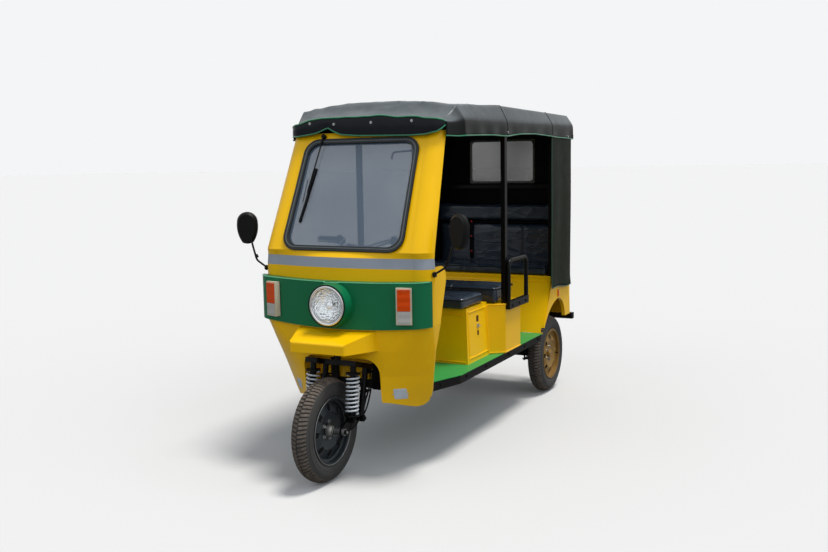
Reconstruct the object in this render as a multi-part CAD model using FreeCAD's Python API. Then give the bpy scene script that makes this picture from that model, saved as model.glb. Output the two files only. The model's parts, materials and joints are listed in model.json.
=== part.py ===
import FreeCAD, Part
import math
import os

# Three-wheeled passenger rickshaw, in millimetres. x points to the vehicle's left,
# y to its rear and z up from the ground. Lengths along y are counted from the front
# axle, and every piece is moved at the end, so that the origin lies on the ground
# under the middle of the overall length.

V = FreeCAD.Vector

# Wheels and stance
WHEELBASE = 2122.0
TYRE_R = 250.0
TYRE_W = 94.0
REAR_WHEEL_X = 375.0
BEAD_R = 154.0
BEAD_HALF_W = 37.0
FLANGE_R = 163.0
FLANGE_T = 4.0
WELL_R = 142.0
WELL_HALF_W = 18.0
RIM_T = 4.0
DISC_HUB_R = 46.0
DISC_CROWN_R = 92.0
FRONT_DISC_CROWN = 20.0
REAR_DISC_CROWN = 30.0
VENT_COUNT = 8
VENT_R = 116.0
VENT_END_R = 9.0
VENT_HALF_RUN = 8.0
RUNNING_CLEARANCE = 0.05

# Front hub and axle
FRONT_HUB_R = 62.0
FRONT_HUB_HALF_W = 38.0
FRONT_AXLE_R = 10.0
HUB_BOSS_R = 24.0
HUB_BOSS_HALF_W = 52.0
AXLE_NUT_R = 16.0
AXLE_NUT_T = 13.0
COLLAR_R = 17.0

# Rear hub and axle
REAR_DRUM_R = 86.0
REAR_DRUM_IN = 52.0
DRUM_WALL = 6.0
REAR_SHAFT_R = 15.0
HUB_CAP_R = 31.0
HUB_CAP_OUT = 38.0
HUB_FLANGE_R = 56.0
AXLE_TUBE_R = 30.0
BACKING_R = 82.0
BACKING_T = 5.0
BACKING_GAP = 6.0
DIFF_R = 88.0
DIFF_W = 130.0
MOTOR_R = 76.0
MOTOR_LEN = 210.0

# Steering axis: its y at the height of the wheel centre, and its rake
STEER_Y = 35.0
RAKE = 16.0
COLUMN_R = 14.0
COLUMN_TOP_Z = 1078.0
HEAD_R = 22.0
HEAD_CLEARANCE = 0.3
HEAD_LOW_Z = 645.0
HEAD_HIGH_Z = 775.0
COLUMN_HOLE_R = 34.0
COLUMN_NOTCH_R = 24.0
LEG_X = 112.0
LEG_BACK = 80.0
LEG_R = 15.0
LEG_LOW_Z = 292.0
YOKE_LOW_Z = 540.0
YOKE_T = 24.0
YOKE_HALF_W = 140.0
YOKE_WAIST = 72.0
YOKE_HALF_D = 34.0
YOKE_FRONT = -72.0
YOKE_REAR = 102.0
SPRING_TOP_Z = 512.0
SPRING_LOW_Z = 322.0
SPRING_TOP_Y = 78.0
SPRING_LOW_Y = 58.0
SPRING_COIL_R = 29.0
SPRING_WIRE_R = 4.5
SPRING_TURNS = 9.5
DAMPER_R = 15.0
DAMPER_HEAD = 60.0
SEAT_R = 36.0
SEAT_T = 8.0
LINK_IN_X = 86.0
LINK_T = 10.0
LINK_HALF_H = 19.0
LINK_PIVOT_Y = 140.0
LINK_PIVOT_Z = 285.0
PIVOT_R = 17.0
PIVOT_PROUD = 4.0
BAR_R = 11.0
BAR_Z = 1118.0
BAR_Y = 478.0
BAR_RISE_X = 126.0
BAR_SWEEP = 55.0
BAR_END_X = 300.0
GRIP_R = 16.0
GRIP_LEN = 118.0
STEM_R = 24.0

# Chassis
FLOOR_TOP = 440.0
FLOOR_T = 3.0
RAIL_H = 45.0
RAIL_W = 50.0
RAIL_X = 245.0
SIDE_RAIL_W = 40.0
SIDE_RAIL_X = 415.0
FLOOR_FRONT = 303.0
FLOOR_REAR = 1800.0
FLOOR_HALF_W = 463.0
FLOOR_FRONT_HALF_W = 370.0
FLOOR_FLARE_HALF_W = 391.0
FLOOR_FLARE_Y = 350.0
FLOOR_FULL_Y = 560.0
REAR_RAIL_Y = 1832.0
RAIL_LAP = 20.0
REAR_RAIL_TOP = 482.0
BUMPER_Y = 2396.0
BUMPER_D = 40.0
BUMPER_LOW = 441.0
BUMPER_HIGH = 481.0
BUMPER_HALF_W = 471.0
CROSS_W = 40.0
TOW_HOLE_R = 8.0
TOW_HOLE_X = 60.0
EYE_Z = 385.0
EYE_R = 13.0
PIN_R = 7.0
PIN_CLEARANCE = 0.3
LEAF_W = 44.0
LEAF_T = 8.0
LEAF_COUNT = 4
LEAF_SPAN_FRONT = 248.0
LEAF_SPAN_REAR = 256.0
HANGER_T = 5.0
UPRIGHT_X = 100.0
UPRIGHT_W = 40.0
UPRIGHT_D = 19.0
UPRIGHT_TOP = 690.0

# Front body: plan sections of the lower shell.
# Columns: height, centre y, half width, bow of the front, corner start inset from
# the half width, corner depth, roundness of the corner from 0, straight, to 1, round
SHIELD_SECTIONS = (
    (372.0, 150.0, 396.0, 18.0, 186.0, 172.0, 0.15),
    (491.0, 140.0, 425.0, 20.0, 205.0, 150.0, 0.30),
    (620.0, 116.0, 453.0, 30.0, 190.0, 122.0, 0.60),
    (745.0, 112.0, 468.0, 40.0, 95.0, 75.0, 1.00),
    (950.0, 122.0, 470.0, 42.0, 90.0, 75.0, 1.00),
)
SHIELD_T = 4.0
SHIELD_BACK_Y = 400.0
# Rear edge of the shell's cheeks, as y and z from the top down
CHEEK_EDGE = (
    (366.0, 1000.0), (366.0, 939.0), (312.0, 770.0), (285.0, 620.0),
    (315.0, 491.0), (345.0, 410.0), (345.0, 372.0),
)
CHEEK_TOP = 1018.0
CHEEK_ROUND = 55.0
# Plan sections of the windscreen frame, with the same columns
FRAME_SECTIONS = (
    (950.0, 140.0, 473.0, 45.0, 90.0, 58.0, 1.00),
    (1011.0, 140.0, 473.0, 45.0, 90.0, 58.0, 1.00),
    (1060.0, 146.0, 471.0, 45.0, 90.0, 55.0, 1.00),
    (1088.0, 166.0, 468.0, 10.0, 95.0, 70.0, 1.00),
    (1662.0, 428.0, 431.0, 6.0, 85.0, 40.0, 1.00),
)
FRAME_T = 26.0
# Plan sections of the coloured band
BAND_SECTIONS = (
    (722.0, 95.0, 476.0, 42.0, 100.0, 66.0, 1.00),
    (960.0, 95.0, 476.0, 42.0, 100.0, 66.0, 1.00),
)
BAND_TOP = 950.0
BAND_TOP_LIFT = 9.0
BAND_LOW = 722.0
BAND_LOW_LIFT = 22.0

# Wheel arch in the nose, and the housing behind it
ARCH_HALF_W = 214.0
ARCH_TOP = 577.0
ARCH_ROUND = 70.0
HOUSING_T = 3.0
HOUSING_TOP = 612.0
FIREWALL_Y = 303.0
FIREWALL_TOP = 968.0
FIREWALL_T = 3.0
FIREWALL_HALF_W = 446.0

# Shelf over the front wheel
LIP_FRONT_Y = -60.0
LIP_BACK_Y = 150.0
LIP_FRONT_HALF_W = 150.0
LIP_BACK_HALF_W = 222.0
LIP_FRONT_TOP = 679.0
LIP_BACK_TOP = 722.0
LIP_FRONT_LOW = 629.0
LIP_BACK_LOW = 622.0
LIP_T = 4.0

# Windscreen, on the raked plane given by its lower and upper edge
GLASS_LOW = (167.0, 1087.0)
GLASS_HIGH = (415.0, 1631.0)
GASKET_LOW_HALF_W = 340.0
GASKET_HIGH_HALF_W = 326.0
GASKET_W = 26.0
GASKET_ROUND = 80.0
GASKET_PROUD = 7.0
GLASS_T = 5.0
GLASS_DEPTH = 10.0

# Lamps of the front
LAMP_Z = 840.0
LAMP_FACE_Y = 32.0
BUCKET_R = 102.0
BUCKET_FLARE = 10.0
BEZEL_R = 97.0
BEZEL_W = 14.0
BEZEL_D = 16.0
BOWL_T = 2.5
LENS_T = 4.0
LENS_BULGE = 16.0
INDICATOR_X = 372.0
INDICATOR_Z = 846.0
INDICATOR_W = 74.0
INDICATOR_H = 172.0
INDICATOR_D = 34.0
INDICATOR_YAW = 20.0
INDICATOR_FACE_Y = 112.0
INDICATOR_RIM = 7.0
INDICATOR_LENS_D = 8.0
AMBER_SHARE = 0.64
LENS_SPLIT = 0.01

# Mirrors
MIRROR_X = 596.0
MIRROR_Y = 235.0
MIRROR_Z = 1187.0
MIRROR_W = 106.0
MIRROR_H = 164.0
MIRROR_D = 34.0
MIRROR_YAW = 20.0
MIRROR_GLASS_T = 2.0
MIRROR_RIM = 7.0
STALK_R = 5.0
STALK_BASE_Z = 985.0
STALK_BEND_X = 537.0
STALK_BEND_Z = 1044.0
STALK_Y = 229.0

# Wiper, on the windscreen plane: x and distance up the glass from its lower edge
WIPER_PIVOT = (-226.0, 610.0)
WIPER_TIP = (-250.0, 300.0)
BLADE_HIGH = (-232.0, 435.0)
BLADE_LOW = (-262.0, 145.0)
WIPER_ARM_R = 3.5
BLADE_W = 9.0
WIPER_GAP = 12.0

# Dashboard
DASH_TOP = 1018.0
DASH_LOW = 968.0
DASH_FRONT_Y = 196.0
DASH_BACK_Y = 330.0
DASH_HALF_W = 425.0
GAUGE_R = 42.0
GAUGE_X = -150.0

# Seats
DRIVER_BOX_FRONT = 790.0
DRIVER_BOX_REAR = 1078.0
DRIVER_BOX_LOW_HALF_W = 400.0
DRIVER_BOX_TOP_HALF_W = 385.0
DRIVER_BOX_TOP = 736.0
BENCH_FRONT = 1081.0
BENCH_CORNER_Y = 1150.0
BENCH_REAR = 1385.0
BENCH_HALF_W = 471.0
BENCH_CORNER_X = 385.0
BENCH_TOP = 722.0
SHEET_T = 3.0
DRIVER_PAD_FRONT = 744.0
DRIVER_PAD_REAR = 1040.0
DRIVER_PAD_OVERHANG = 13.0
DRIVER_PAD_TOP = 798.0
BENCH_PAD_FRONT = 1096.0
BENCH_PAD_REAR = 1368.0
BENCH_PAD_HALF_W = 440.0
BENCH_PAD_TOP = 815.0
PAD_ROUND = 22.0
BATTERY_HALF_W = 390.0
BATTERY_D = 200.0
BATTERY_H = 225.0

# Rear body
RISER_LOW_Y = 1803.0
RISER_TOP_Y = 1950.0
RISER_TOP_Z = 752.0
SEAT_TOP = 783.0
REAR_LOW_Y = 2342.0
REAR_TOP_Y = 2324.0
REAR_LOW_Z = 489.0
BACK_T = 4.0
FENDER_X = 471.0
FENDER_T = 5.0
FENDER_TOP = 741.0
FENDER_TOP_FRONT_Y = 1959.0
ARCH_FRONT = (1809.0, 457.0)
ARCH_MID = (1922.0, 568.0)
ARCH_CROWN = (2090.0, 627.0)
ARCH_REAR = (2236.0, 489.0)
ARCH_LIP = 22.0
REAR_PAD_FRONT = 1948.0
REAR_PAD_REAR = 2215.0
REAR_PAD_HALF_W = 442.0
REAR_PAD_TOP = 842.0
BACK_PAD_FRONT = 2218.0
BACK_PAD_TOP = 1104.0
ROLL_FRONT = 2196.0
ROLL_LOW = 1108.0
ROLL_TOP = 1236.0
BACK_PAD_HALF_W = 440.0

# Canopy and its frame
POST_X = 446.0
POST_W = 25.0
POST_Y = 1146.0
POST_D = 34.0
RAIL_LOW = 1664.0
TOP_RAIL_H = 26.0
TOP_RAIL_FRONT = 470.0
TOP_RAIL_REAR = 2292.0
RAIL_BEND_Y = 570.0
RAIL_DRAW = 26.0
REAR_POST_Y = 1962.0
BOW_YS = (600.0, 1150.0, 1740.0, 2270.0)
BOW_R = 9.0
HEM_Z = 1650.0
CANOPY_T = 6.0
# Canopy sections from front to rear.
# Columns: y, half width, shoulder height, inner shoulder inset, its height, crown
CANOPY_SECTIONS = (
    (398.0, 448.0, 1700.0, 40.0, 1708.0, 1730.0),
    (560.0, 490.0, 1728.0, 36.0, 1774.0, 1800.0),
    (1127.0, 496.0, 1736.0, 36.0, 1792.0, 1812.0),
    (2318.0, 496.0, 1750.0, 36.0, 1778.0, 1797.0),
)
CURTAIN_X = 484.0
CURTAIN_T = 4.0
CURTAIN_LOW = 705.0
CURTAIN_TOP = 1672.0
CURTAIN_FRONT = 1912.0
CURTAIN_REAR = 2314.0
REAR_CURTAIN_LOW = 745.0
REAR_CURTAIN_Y = 2306.0
REAR_CURTAIN_HALF_W = 480.0
WINDOW_HALF_W = 222.0
WINDOW_LOW = 1377.0
WINDOW_HIGH = 1667.0
WINDOW_T = 1.5
WINDOW_HEM = 12.0

# Armrest loops
LOOP_X = 484.0
LOOP_R = 12.5
LOOP_FRONT = 1163.0
LOOP_REAR = 1447.0
LOOP_LOW = 710.0
LOOP_TOP = 962.0
LOOP_ROUND = 45.0
LOOP_PLATE_H = 44.0

# Lamps of the rear, pedal
TAIL_X = 380.0
TAIL_W = 84.0
TAIL_H = 120.0
TAIL_Z = 640.0
TAIL_D = 26.0
PEDAL_X = -150.0
PEDAL_Y = 430.0
PEDAL_Z = 545.0
PEDAL_DROP = 130.0
PEDAL_ARM_R = 8.0
PEDAL_FOOT_R = 24.0
PEDAL_FOOT_T = 8.0

Y_MIDDLE = (BUMPER_Y + BUMPER_D - TYRE_R) / 2.0


def box(x0, x1, y0, y1, z0, z1):
    return Part.makeBox(x1 - x0, y1 - y0, z1 - z0, V(x0, y0, z0))


def rod(start, end, radius):
    a = V(*start)
    b = V(*end)
    return Part.makeCylinder(radius, a.distanceToPoint(b), a, b - a)


def mirrored(shape):
    return shape.mirror(V(0, 0, 0), V(1, 0, 0))


def pair(shape):
    return Part.makeCompound([shape, mirrored(shape)])


def fused(shapes):
    solid = shapes[0].fuse(shapes[1:]).removeSplitter()
    return solid


def polygon(points):
    return Part.makePolygon(list(points) + [points[0]])


def slab_x(points, x0, x1):
    face = Part.Face(polygon([V(x0, y, z) for y, z in points]))
    return face.extrude(V(x1 - x0, 0, 0))


def slab_z(points, z0, z1):
    face = Part.Face(polygon([V(x, y, z0) for x, y in points]))
    return face.extrude(V(0, 0, z1 - z0))


def round_path(points, radii, closed):
    """Straight runs joined by tangent arcs, one radius for each corner."""
    count = len(points)
    edges = []
    corners = range(count) if closed else range(1, count - 1)
    trims = {}
    for i in corners:
        here = points[i]
        back = (points[i - 1] - here).normalize()
        ahead = (points[(i + 1) % count] - here).normalize()
        half = back.getAngle(ahead) / 2.0
        reach = radii[i] / math.tan(half)
        middle = (back + ahead).normalize() * (radii[i] / math.sin(half) - radii[i])
        trims[i] = (here + back * reach, here + middle, here + ahead * reach)
    runs = range(count) if closed else range(count - 1)
    for i in runs:
        j = (i + 1) % count
        start = trims[i][2] if i in trims else points[i]
        end = trims[j][0] if j in trims else points[j]
        if start.distanceToPoint(end) > 1e-6:
            edges.append(Part.LineSegment(start, end).toShape())
        if j in trims:
            edges.append(Part.Arc(*trims[j]).toShape())
    return Part.Wire(edges)


def round_tube(points, radii, radius):
    path = round_path([V(*p) for p in points], radii, False)
    first = V(*points[0])
    along = V(*points[1]) - first
    ring = Part.Wire(Part.Circle(first, along, radius).toShape())
    return path.makePipeShell([ring], True, False)


def rounded_box(x0, x1, y0, y1, z0, z1, radius):
    solid = box(x0, x1, y0, y1, z0, z1)
    return solid.makeFillet(radius, solid.Edges)


def turned(profile, centre, side):
    """Revolve (offset along the axle, radius) points about the wheel's axle."""
    x, y, z = centre
    points = [V(x + side * u, y, z + r) for u, r in profile]
    face = Part.Face(polygon(points))
    return face.revolve(V(x, y, z), V(1, 0, 0), 360)


# Wheels


def tyre(centre):
    x, y, z = centre
    half = TYRE_W / 2.0

    def at(u, r):
        return V(x + u, y, z + r)

    left = (at(-BEAD_HALF_W, FLANGE_R), at(-half, TYRE_R - 48.0), at(-half + 9.0, TYRE_R - 15.0))
    right = (at(half - 9.0, TYRE_R - 15.0), at(half, TYRE_R - 48.0), at(BEAD_HALF_W, FLANGE_R))
    edges = [
        Part.LineSegment(at(-BEAD_HALF_W, BEAD_R), left[0]).toShape(),
        Part.Arc(*left).toShape(),
        Part.Arc(left[2], at(0, TYRE_R), right[0]).toShape(),
        Part.Arc(*right).toShape(),
        Part.LineSegment(right[2], at(BEAD_HALF_W, BEAD_R)).toShape(),
        Part.LineSegment(at(BEAD_HALF_W, BEAD_R), at(-BEAD_HALF_W, BEAD_R)).toShape(),
    ]
    return Part.Face(Part.Wire(edges)).revolve(V(x, y, z), V(1, 0, 0), 360)


def rim(centre, side, crown):
    """Barrel with flanges and drop centre, dished disc with vents, hub hole."""
    t = RIM_T
    slope = WELL_HALF_W + 4.0
    outer = FLANGE_T + BEAD_HALF_W
    barrel = turned((
        (-outer, FLANGE_R), (-BEAD_HALF_W, FLANGE_R), (-BEAD_HALF_W, BEAD_R), (-slope, BEAD_R),
        (-WELL_HALF_W, WELL_R), (WELL_HALF_W, WELL_R), (slope, BEAD_R), (BEAD_HALF_W, BEAD_R),
        (BEAD_HALF_W, FLANGE_R), (outer, FLANGE_R), (outer, BEAD_R - t), (slope + 2.0, BEAD_R - t),
        (WELL_HALF_W + 2.0, WELL_R - t), (-WELL_HALF_W - 2.0, WELL_R - t),
        (-slope - 2.0, BEAD_R - t), (-outer, BEAD_R - t)), centre, side)
    seat = crown - 14.0
    disc = turned((
        (seat, DISC_HUB_R - 20.0), (seat, DISC_HUB_R), (crown, DISC_CROWN_R),
        (crown - 16.0, WELL_R - t + 1.0), (crown - 16.0 + t, WELL_R - t + 1.0),
        (crown + t, DISC_CROWN_R), (seat + t, DISC_HUB_R), (seat + t, DISC_HUB_R - 20.0)), centre, side)
    x, y, z = centre
    reach = 40.0
    for k in range(VENT_COUNT):
        angle = 360.0 * k / VENT_COUNT
        middle = z + VENT_R
        x0, x1 = sorted((x, x + side * reach))
        vent = box(x0, x1, y - VENT_HALF_RUN, y + VENT_HALF_RUN, middle - VENT_END_R, middle + VENT_END_R)
        vent = vent.fuse([rod((x0, y + run, middle), (x1, y + run, middle), VENT_END_R)
                          for run in (-VENT_HALF_RUN, VENT_HALF_RUN)])
        vent.rotate(V(x, y, z), V(1, 0, 0), angle)
        disc = disc.cut(vent)
    return barrel.fuse(disc).removeSplitter()


def front_hub(centre):
    """Drum with the bored boss that turns on the front axle."""
    disc_in = FRONT_DISC_CROWN - 14.0
    bore = FRONT_AXLE_R + RUNNING_CLEARANCE
    return turned((
        (-HUB_BOSS_HALF_W, bore), (-HUB_BOSS_HALF_W, HUB_BOSS_R), (-FRONT_HUB_HALF_W, HUB_BOSS_R),
        (-FRONT_HUB_HALF_W, FRONT_HUB_R), (disc_in, FRONT_HUB_R - 8.0), (disc_in, DISC_HUB_R - 20.0),
        (HUB_BOSS_HALF_W, DISC_HUB_R - 20.0), (HUB_BOSS_HALF_W, bore)), centre, 1)


def rear_hub(centre, side):
    disc_in = REAR_DISC_CROWN - 14.0
    bore = REAR_SHAFT_R + RUNNING_CLEARANCE
    wall = DRUM_WALL
    face = disc_in - 14.0
    return turned((
        (-REAR_DRUM_IN, REAR_DRUM_R), (face, REAR_DRUM_R), (disc_in, HUB_FLANGE_R),
        (disc_in, DISC_HUB_R - 20.0), (HUB_CAP_OUT - 6.0, DISC_HUB_R - 20.0), (HUB_CAP_OUT, 18.0),
        (HUB_CAP_OUT, 0.0), (HUB_CAP_OUT - 8.0, 0.0), (HUB_CAP_OUT - 8.0, bore), (face - 30.0, bore),
        (face - 30.0, HUB_CAP_R), (face - wall, HUB_CAP_R), (face - wall, REAR_DRUM_R - wall),
        (-REAR_DRUM_IN, REAR_DRUM_R - wall)), centre, side)


FRONT_CENTRE = (0.0, 0.0, TYRE_R)
REAR_CENTRE = (REAR_WHEEL_X, WHEELBASE, TYRE_R)


# Steering


def axis_y(z):
    return STEER_Y + (z - TYRE_R) * math.tan(math.radians(RAKE))


def axis_point(z, x=0.0, back=0.0):
    return (x, axis_y(z) + back, z)


def axis_along():
    return V(0, math.sin(math.radians(RAKE)), math.cos(math.radians(RAKE)))


def off_axis(z, x, back):
    """Point in the plane square to the steering axis at a height, x aside and back behind."""
    y, drop = back * math.cos(math.radians(RAKE)), back * math.sin(math.radians(RAKE))
    return V(x, axis_y(z) + y, z - drop)


def yoke_slab(thickness):
    """Outline of the yoke plate, waisted between its two ends."""
    middle = YOKE_HALF_D
    outline = (
        (-YOKE_HALF_W, YOKE_FRONT), (-YOKE_WAIST, YOKE_FRONT), (-YOKE_WAIST, -middle), (YOKE_WAIST, -middle),
        (YOKE_WAIST, YOKE_FRONT), (YOKE_HALF_W, YOKE_FRONT), (YOKE_HALF_W, YOKE_REAR), (YOKE_WAIST, YOKE_REAR),
        (YOKE_WAIST, middle), (-YOKE_WAIST, middle), (-YOKE_WAIST, YOKE_REAR), (-YOKE_HALF_W, YOKE_REAR))
    face = Part.Face(polygon([off_axis(YOKE_LOW_Z, x, back) for x, back in outline]))
    return face.extrude(axis_along() * thickness)


def front_fork():
    """Steering column on a yoke plate, with two legs behind the steering axis."""
    pieces = [yoke_slab(YOKE_T), rod(axis_point(YOKE_LOW_Z + 4.0), axis_point(COLUMN_TOP_Z), COLUMN_R)]
    for side in (-1, 1):
        x = side * LEG_X
        inner = side * (LINK_IN_X + LINK_T)
        outer = side * (LEG_X + LEG_R + PIVOT_PROUD)
        top = off_axis(YOKE_LOW_Z + YOKE_T / 2.0, x, LEG_BACK)
        pieces.append(rod((x, LINK_PIVOT_Y, LINK_PIVOT_Z), tuple(top), LEG_R))
        pieces.append(rod((inner, LINK_PIVOT_Y, LINK_PIVOT_Z), (outer, LINK_PIVOT_Y, LINK_PIVOT_Z), PIVOT_R))
    return fused(pieces)


def fork_link(side):
    """Arm from the leg's foot forward to the wheel axle."""
    x0 = LINK_IN_X
    x1 = LINK_IN_X + LINK_T
    h = LINK_HALF_H
    arm = slab_x(((0.0, TYRE_R - h), (LINK_PIVOT_Y, LINK_PIVOT_Z - h), (LINK_PIVOT_Y, LINK_PIVOT_Z + h),
                  (SPRING_LOW_Y, SPRING_LOW_Z - 14.0), (0.0, TYRE_R + h)), x0, x1)
    nose = rod((x0, 0, TYRE_R), (x1, 0, TYRE_R), h)
    heel = rod((x0, LINK_PIVOT_Y, LINK_PIVOT_Z), (x1, LINK_PIVOT_Y, LINK_PIVOT_Z), h)
    shelf = rod((LINK_IN_X, SPRING_LOW_Y, SPRING_LOW_Z - 30.0), (LEG_X + 12.0, SPRING_LOW_Y, SPRING_LOW_Z - 30.0), 11.0)
    solid = fused([arm, nose, heel, shelf])
    solid = solid.cut(rod((0, 0, TYRE_R), (200, 0, TYRE_R), FRONT_AXLE_R))
    return solid if side > 0 else mirrored(solid)


def spring_line(share):
    y = SPRING_LOW_Y + share * (SPRING_TOP_Y - SPRING_LOW_Y)
    z = SPRING_LOW_Z + share * (SPRING_TOP_Z - SPRING_LOW_Z)
    return (LEG_X, y, z)


def damper():
    low = V(*spring_line(0.0))
    top = V(*spring_line(1.0))
    along = (top - low).normalize()
    head = top + along * DAMPER_HEAD
    pieces = [
        rod(tuple(low - along * 12.0), tuple(head), DAMPER_R),
        rod(tuple(low - along * SEAT_T), tuple(low), SEAT_R),
        rod(tuple(top), tuple(top + along * SEAT_T), SEAT_R),
    ]
    body = fused(pieces)
    body = body.cut(yoke_slab(DAMPER_HEAD))
    body = body.cut(rod((LEG_X - 30.0, SPRING_LOW_Y, SPRING_LOW_Z - 30.0),
                        (LEG_X + 30.0, SPRING_LOW_Y, SPRING_LOW_Z - 30.0), 11.0 + PIN_CLEARANCE))
    return body


def spring_coil():
    low = V(*spring_line(0.0))
    top = V(*spring_line(1.0))
    height = low.distanceToPoint(top) - 2.0 * SPRING_WIRE_R - 1.0
    pitch = height / SPRING_TURNS
    helix = Part.makeHelix(pitch, height, SPRING_COIL_R)
    ring = Part.Wire(Part.Circle(V(SPRING_COIL_R, 0, 0), V(0, 1, 0), SPRING_WIRE_R).toShape())
    coil = Part.Wire(helix).makePipeShell([ring], True, True)
    turn = FreeCAD.Rotation(V(0, 0, 1), top - low)
    along = (top - low).normalize()
    coil.Placement = FreeCAD.Placement(low + along * (SPRING_WIRE_R + 0.5), turn)
    return coil


def front_axle():
    end = LINK_IN_X + LINK_T
    pieces = [rod((-end - AXLE_NUT_T, 0, TYRE_R), (end + AXLE_NUT_T, 0, TYRE_R), FRONT_AXLE_R)]
    for side in (-1, 1):
        pieces.append(rod((side * end, 0, TYRE_R), (side * (end + AXLE_NUT_T), 0, TYRE_R), AXLE_NUT_R))
        pieces.append(rod((side * (HUB_BOSS_HALF_W + 5.0), 0, TYRE_R), (side * LINK_IN_X, 0, TYRE_R), COLLAR_R))
    return fused(pieces)


def handlebar():
    """Stem clamp on the column and a bar that rises and sweeps back to the grips."""
    stem_y = axis_y(COLUMN_TOP_Z)
    stem = rod(axis_point(COLUMN_TOP_Z), axis_point(COLUMN_TOP_Z + 34.0), STEM_R)
    clamp_z = COLUMN_TOP_Z + 17.0
    half = [
        (0.0, stem_y + 10.0, clamp_z), (BAR_RISE_X - 40.0, stem_y + 14.0, clamp_z),
        (BAR_RISE_X, BAR_Y - BAR_SWEEP, BAR_Z), (BAR_END_X, BAR_Y, BAR_Z)]
    bar = round_tube(half, [0, 40.0, 34.0, 0], BAR_R)
    return fused([stem, bar, mirrored(bar)])


def grip():
    start = V(BAR_RISE_X, BAR_Y - BAR_SWEEP, BAR_Z)
    end = V(BAR_END_X, BAR_Y, BAR_Z)
    along = (end - start).normalize()
    outer = rod(tuple(end - along * GRIP_LEN), tuple(end + along * 8.0), GRIP_R)
    return outer.cut(rod(tuple(start), tuple(end), BAR_R))


# Chassis


def chassis():
    top = FLOOR_TOP - FLOOR_T
    low = top - RAIL_H
    pieces = []
    for side in (-1, 1):
        inner = side * RAIL_X
        outer = side * (RAIL_X + RAIL_W)
        x0, x1 = sorted((inner, outer))
        pieces.append(box(x0, x1, FLOOR_FRONT + CROSS_W - 1.0, REAR_RAIL_Y + RAIL_LAP, low, top))
        pieces.append(box(x0, x1, REAR_RAIL_Y, BUMPER_Y, top - 1.0, REAR_RAIL_TOP))
        x0, x1 = sorted((side * SIDE_RAIL_X, side * (SIDE_RAIL_X + SIDE_RAIL_W)))
        pieces.append(box(x0, x1, FLOOR_FULL_Y, FLOOR_REAR, low, top))
        points = (
            (side * FLOOR_FRONT_HALF_W, FLOOR_FRONT), (side * FLOOR_FLARE_HALF_W, FLOOR_FLARE_Y),
            (side * (SIDE_RAIL_X + SIDE_RAIL_W), FLOOR_FULL_Y), (side * SIDE_RAIL_X, FLOOR_FULL_Y),
            (side * (FLOOR_FLARE_HALF_W - SIDE_RAIL_W), FLOOR_FLARE_Y),
            (side * (FLOOR_FRONT_HALF_W - SIDE_RAIL_W), FLOOR_FRONT))
        pieces.append(slab_z(points, low, top))
    for y in (FLOOR_FRONT, DRIVER_BOX_FRONT, BENCH_CORNER_Y, FLOOR_REAR - CROSS_W):
        half = FLOOR_FRONT_HALF_W - 5.0 if y == FLOOR_FRONT else SIDE_RAIL_X + 5.0
        pieces.append(box(-half, half, y, y + CROSS_W, low, top))
    pieces.append(box(-BUMPER_HALF_W, BUMPER_HALF_W, BUMPER_Y, BUMPER_Y + BUMPER_D, BUMPER_LOW, BUMPER_HIGH))
    pieces.append(steering_head())
    pieces += [spring_hanger(y, side) for y in (LEAF_FRONT_Y, LEAF_REAR_Y) for side in (-1, 1)]
    frame = fused(pieces)
    cuts = [rod(axis_point(HEAD_LOW_Z - 40.0), axis_point(HEAD_HIGH_Z + 40.0), COLUMN_R + HEAD_CLEARANCE)]
    z = (BUMPER_LOW + BUMPER_HIGH) / 2.0
    for x in (-TOW_HOLE_X, TOW_HOLE_X):
        cuts.append(rod((x, BUMPER_Y - 1.0, z), (x, BUMPER_Y + BUMPER_D + 1.0, z), TOW_HOLE_R))
    return frame.cut(cuts)


def steering_head():
    """Head tube with the uprights and the strut that carry it on the chassis."""
    low = FLOOR_TOP - FLOOR_T
    back = FIREWALL_Y
    pieces = [rod(axis_point(HEAD_LOW_Z), axis_point(HEAD_HIGH_Z), HEAD_R)]
    for side in (-1, 1):
        x0, x1 = sorted((side * UPRIGHT_X, side * (UPRIGHT_X + UPRIGHT_W)))
        pieces.append(box(x0, x1, back - UPRIGHT_D, back, low - RAIL_H, UPRIGHT_TOP))
        pieces.append(box(x0, x1, back - 1.0, back + CROSS_W / 2.0, low - RAIL_H, low))
    z_mid = (HEAD_LOW_Z + UPRIGHT_TOP) / 2.0
    reach = UPRIGHT_X + UPRIGHT_W
    pieces.append(box(-reach, reach, back - UPRIGHT_D, back, HEAD_LOW_Z, UPRIGHT_TOP))
    pieces.append(box(-16.0, 16.0, axis_y(z_mid), back - 1.0, HEAD_LOW_Z + 6.0, UPRIGHT_TOP - 4.0))
    return fused(pieces)


def floor_pan():
    outline = []
    for side in (-1, 1):
        corner = [(side * FLOOR_FRONT_HALF_W, FLOOR_FRONT + FIREWALL_T), (side * FLOOR_FLARE_HALF_W, FLOOR_FLARE_Y),
                  (side * FLOOR_HALF_W, FLOOR_FULL_Y), (side * FLOOR_HALF_W, FLOOR_REAR)]
        outline += corner if side < 0 else corner[::-1]
    pan = slab_z(outline, FLOOR_TOP - FLOOR_T, FLOOR_TOP)
    return pan


LEAF_FRONT_Y = WHEELBASE - LEAF_SPAN_FRONT
LEAF_REAR_Y = WHEELBASE + LEAF_SPAN_REAR


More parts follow.
